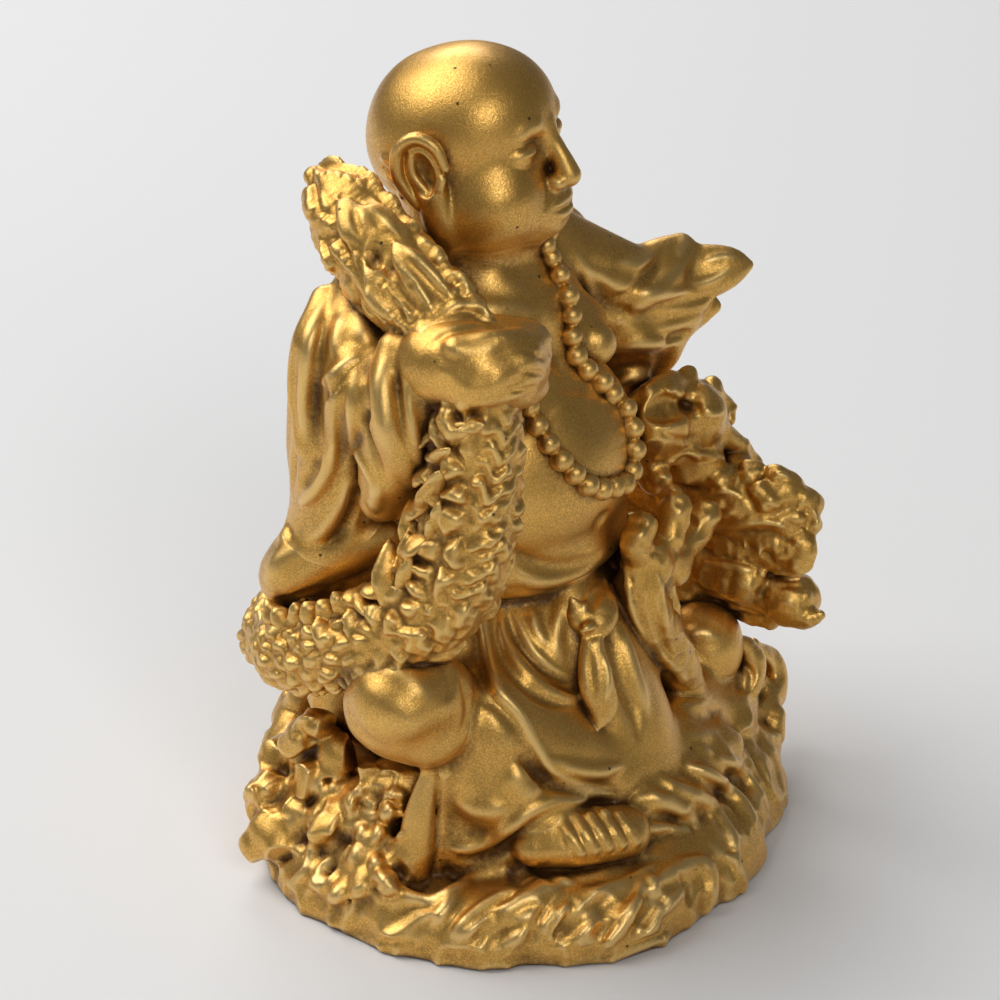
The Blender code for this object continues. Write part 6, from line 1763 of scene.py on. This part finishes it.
def gold_paint(name, tint, ridge_highlight):
    mat = bpy.data.materials.new(name)
    mat.use_nodes = True
    tree = mat.node_tree
    tree.nodes.clear()
    link = tree.links.new
    out = node(tree, "ShaderNodeOutputMaterial", (900, 0))
    shader = node(tree, "ShaderNodeBsdfPrincipled", (600, 0))
    link(shader.outputs[0], out.inputs[0])
    where = node(tree, "ShaderNodeTexCoord", (-1400, 0)).outputs["Object"]
    hidden = node(tree, "ShaderNodeAttribute", (-1400, -300), attribute_name="hidden").outputs["Fac"]
    ridge = node(tree, "ShaderNodeAttribute", (-1400, -500), attribute_name="ridge").outputs["Fac"]

    def noise(scale, detail, at, roughness=0.6):
        n = node(tree, "ShaderNodeTexNoise", at)
        link(where, n.inputs["Vector"])
        n.inputs["Scale"].default_value = scale
        n.inputs["Detail"].default_value = detail
        n.inputs["Roughness"].default_value = roughness
        return n.outputs[0]

    flake = noise(7500, 2, (-1100, 300), 0.75)
    blotch = noise(260, 3, (-1100, 100))
    grain = noise(2600, 4, (-1100, -100), 0.7)

    base = mix_color(tree, ramp(tree, blotch, 0.35, 0.65, (-800, 100)), tuple(c * 0.84 for c in tint), tuple(c * 1.12 for c in tint), (-500, 200))
    base = mix_color(tree, ramp(tree, flake, 0.42, 0.72, (-800, 300)), base, tuple(min(c * 1.55 + 0.015, 1) for c in tint), (-350, 300))
    # painted highlight: convex ridges are lightened towards a brighter gold
    base = mix_color(tree, ramp(tree, ridge, 0.55, 1.0, (-800, -500), (0.0, 0.75)), base, ridge_highlight, (-200, 200))
    # painted shade: enclosed places, mottled by random grain, are darkened towards a dark brown, and made rougher and
    # less metallic
    shade_and_mottle = node(tree, "ShaderNodeMath", (-600, -300), operation="ADD")
    link(hidden, shade_and_mottle.inputs[0])
    link(ramp(tree, grain, 0.3, 0.7, (-800, -100), (-0.16, 0.16)), shade_and_mottle.inputs[1])
    deep = ramp(tree, shade_and_mottle.outputs[0], 0.3, 0.95, (-400, -300))
    base = mix_color(tree, deep, base, (0.11, 0.046, 0.009), (0, 200))
    # sparse dark pinholes in the casting
    holes = node(tree, "ShaderNodeTexVoronoi", (-1100, -700))
    link(where, holes.inputs["Vector"])
    holes.inputs["Scale"].default_value = 520
    holes.inputs["Randomness"].default_value = 1.0
    speck = ramp(tree, holes.outputs["Distance"], 0.045, 0.085, (-800, -700), (1.0, 0.0))
    pick = ramp(tree, holes.outputs["Color"], 0.54, 0.58, (-800, -900), (0.0, 0.9))
    both = node(tree, "ShaderNodeMath", (-600, -700), operation="MULTIPLY")
    link(speck, both.inputs[0])
    link(pick, both.inputs[1])
    base = mix_color(tree, both.outputs[0], base, (0.05, 0.03, 0.012), (200, 200))
    link(base, shader.inputs["Base Color"])
    rough = ramp(tree, flake, 0.3, 0.75, (-100, -100), (0.45, 0.27))
    more = node(tree, "ShaderNodeMath", (100, -100), operation="MULTIPLY_ADD")
    link(deep, more.inputs[0])
    more.inputs[1].default_value = 0.2
    link(rough, more.inputs[2])
    link(more.outputs[0], shader.inputs["Roughness"])
    metal = ramp(tree, deep, 0.0, 1.0, (100, -300), (0.97, 0.85))
    link(metal, shader.inputs["Metallic"])
    shader.inputs["Coat Weight"].default_value = 0.2
    shader.inputs["Coat Roughness"].default_value = 0.28
    bump = node(tree, "ShaderNodeBump", (350, -400))
    bump.inputs["Strength"].default_value = 0.5
    bump.inputs["Distance"].default_value = 0.00005
    sum_ = node(tree, "ShaderNodeMath", (150, -500), operation="ADD")
    link(flake, sum_.inputs[0])
    link(grain, sum_.inputs[1])
    link(sum_.outputs[0], bump.inputs["Height"])
    link(bump.outputs[0], shader.inputs["Normal"])
    return mat


# each paint: its gold tint, and a brighter gold painted onto ridges as a highlight
GOLD = {
    "gold_skin": gold_paint("Gold_Skin", (0.62, 0.35, 0.078), (0.88, 0.60, 0.22)),
    "gold_robe": gold_paint("Gold_Robe", (0.60, 0.338, 0.074), (0.88, 0.60, 0.22)),
    "gold_dragon": gold_paint("Gold_Dragon", (0.58, 0.322, 0.068), (0.86, 0.58, 0.20)),
    "gold_base": gold_paint("Gold_Base", (0.63, 0.36, 0.082), (0.90, 0.62, 0.24)),
}
SLOT_OF = {
    "gold_base": ["base_rock", "cloud_curls_right", "cloud_curls_left", "cloud_curls_back"],
    "gold_skin": ["head", "torso", "right_hand", "left_hand", "right_knee", "left_knee", "right_foot", "prayer_beads"],
    "gold_robe": ["robe_skirt", "robe_back", "right_sleeve", "left_sleeve", "waist_sash"],
    "gold_dragon": ["dragon_body_front", "dragon_body_rear", "dragon_tail", "dragon_head", "dragon_lower_jaw", "dragon_horns", "dragon_mane",
                    "dragon_foreleg", "dragon_fins_front", "dragon_fins_rear"],
}
for slot_name, members in SLOT_OF.items():
    for name in members:
        clay = CLAYS[name]
        # the paint rounds the finest steps of the field
        F = blurred(clay.F, 1)
        points, quads = surface_net(F)
        points, quads = main_body(points, quads)
        soft = blurred(F, 3)
        q = points
        i = np.clip(np.floor(q).astype(int), 0, np.array(F.shape) - 2)
        f = q - i
        value = 0
        for dx in (0, 1):
            for dy in (0, 1):
                for dz in (0, 1):
                    w = (f[:, 0] if dx else 1 - f[:, 0]) * (f[:, 1] if dy else 1 - f[:, 1]) * (f[:, 2] if dz else 1 - f[:, 2])
                    value = value + w * soft[i[:, 0] + dx, i[:, 1] + dy, i[:, 2] + dz]
        P = (points + clay.o) * clay.h
        # ridge: how convex each place is; the paint lightens it as a painted highlight
        ridge = np.clip(0.5 + value / clay.h * 1.4, 0, 1)
        # hidden: how enclosed each place is by all pieces and the ground; the paint darkens it as painted shade in
        # recesses, creases and low places
        fill = 0.55 * (look_up(FINE_FILL, P) - 0.5) / 0.32 + 0.75 * (look_up(WIDE_FILL, P) - 0.5) / 0.36
        hidden = np.clip(0.16 + 1.15 * fill, 0, 1)
        mesh = bpy.data.meshes.new("sculpt_" + name)
        mesh.vertices.add(len(P))
        mesh.vertices.foreach_set("co", (P * MM).astype(np.float32).ravel())
        mesh.loops.add(len(quads) * 4)
        mesh.loops.foreach_set("vertex_index", quads.astype(np.int32).ravel())
        mesh.polygons.add(len(quads))
        mesh.polygons.foreach_set("loop_start", np.arange(0, len(quads) * 4, 4, dtype=np.int32))
        mesh.polygons.foreach_set("use_smooth", np.ones(len(quads), bool))
        mesh.update(calc_edges=True)
        mesh.validate()
        for key, data in (("hidden", hidden), ("ridge", ridge)):
            attribute = mesh.attributes.new(key, "FLOAT", "POINT")
            attribute.data.foreach_set("value", data.astype(np.float32))
        mesh.materials.append(GOLD[slot_name])
        piece = bpy.data.objects.new("sculpt_" + name, mesh)
        bpy.context.scene.collection.objects.link(piece)
        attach(piece, "root")
        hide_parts(name)
        print("piece", name, len(quads), "quads", np.round(P.min(0), 1), np.round(P.max(0), 1))

# ------------------------------------------------------------------ studio


def plain(name, color, roughness):
    mat = bpy.data.materials.new(name)
    mat.use_nodes = True
    shader = mat.node_tree.nodes["Principled BSDF"]
    shader.inputs["Base Color"].default_value = (*color, 1)
    shader.inputs["Roughness"].default_value = roughness
    return mat


floor_mesh = bpy.data.meshes.new("studio_floor")
verts = [(-0.4, -0.45, 0.0), (0.4, -0.45, 0.0), (0.4, 0.42, 0.0), (-0.4, 0.42, 0.0)]
faces = [(0, 1, 2, 3)]
floor_mesh.from_pydata(verts, [], faces)
floor_mesh.materials.append(plain("Studio_Paper", (0.86, 0.86, 0.86), 0.9))
floor = bpy.data.objects.new("studio_floor", floor_mesh)
floor.rotation_euler = (0, 0, math.radians(-50))
floor.location = (0, 0, -0.00002)
bpy.context.scene.collection.objects.link(floor)


def area(name, place, aim, size, power, color=(1, 1, 1)):
    lamp = bpy.data.lights.new(name, "AREA")
    lamp.shape = "RECTANGLE"
    lamp.size, lamp.size_y = size
    lamp.energy = power
    lamp.color = color
    obj = bpy.data.objects.new(name, lamp)
    obj.location = place
    obj.rotation_euler = (Vector(aim) - Vector(place)).to_track_quat("-Z", "Y").to_euler()
    bpy.context.scene.collection.objects.link(obj)
    return obj


area("Key_Softbox", (-0.15, 0.30, 0.49), (0, 0, 0.02), (0.52, 0.46), 2.35)
area("Fill_Softbox", (-0.30, -0.46, 0.42), (0, 0, 0.03), (0.28, 0.28), 1.05)
area("Rim_Softbox", (0.35, 0.42, 0.40), (0, 0, 0.03), (0.30, 0.24), 1.1)

world = bpy.context.scene.world or bpy.data.worlds.new("World")
bpy.context.scene.world = world
world.use_nodes = True
background = world.node_tree.nodes["Background"]
background.inputs[0].default_value = (0.86, 0.86, 0.87, 1)
background.inputs[1].default_value = 0.17
bpy.context.scene.view_settings.view_transform = "Standard"

camera_data = bpy.data.cameras.new("Camera")
camera_data.sensor_width = 36
camera_data.lens = 162
camera_data.clip_start = 0.01
camera = bpy.data.objects.new("Camera", camera_data)
back = Vector(MAIN.back)
camera.location = (Vector(MAIN.target) + back * MAIN.distance) * MM
camera.rotation_euler = (-back).to_track_quat("-Z", "Y").to_euler()
bpy.context.scene.collection.objects.link(camera)
bpy.context.scene.camera = camera
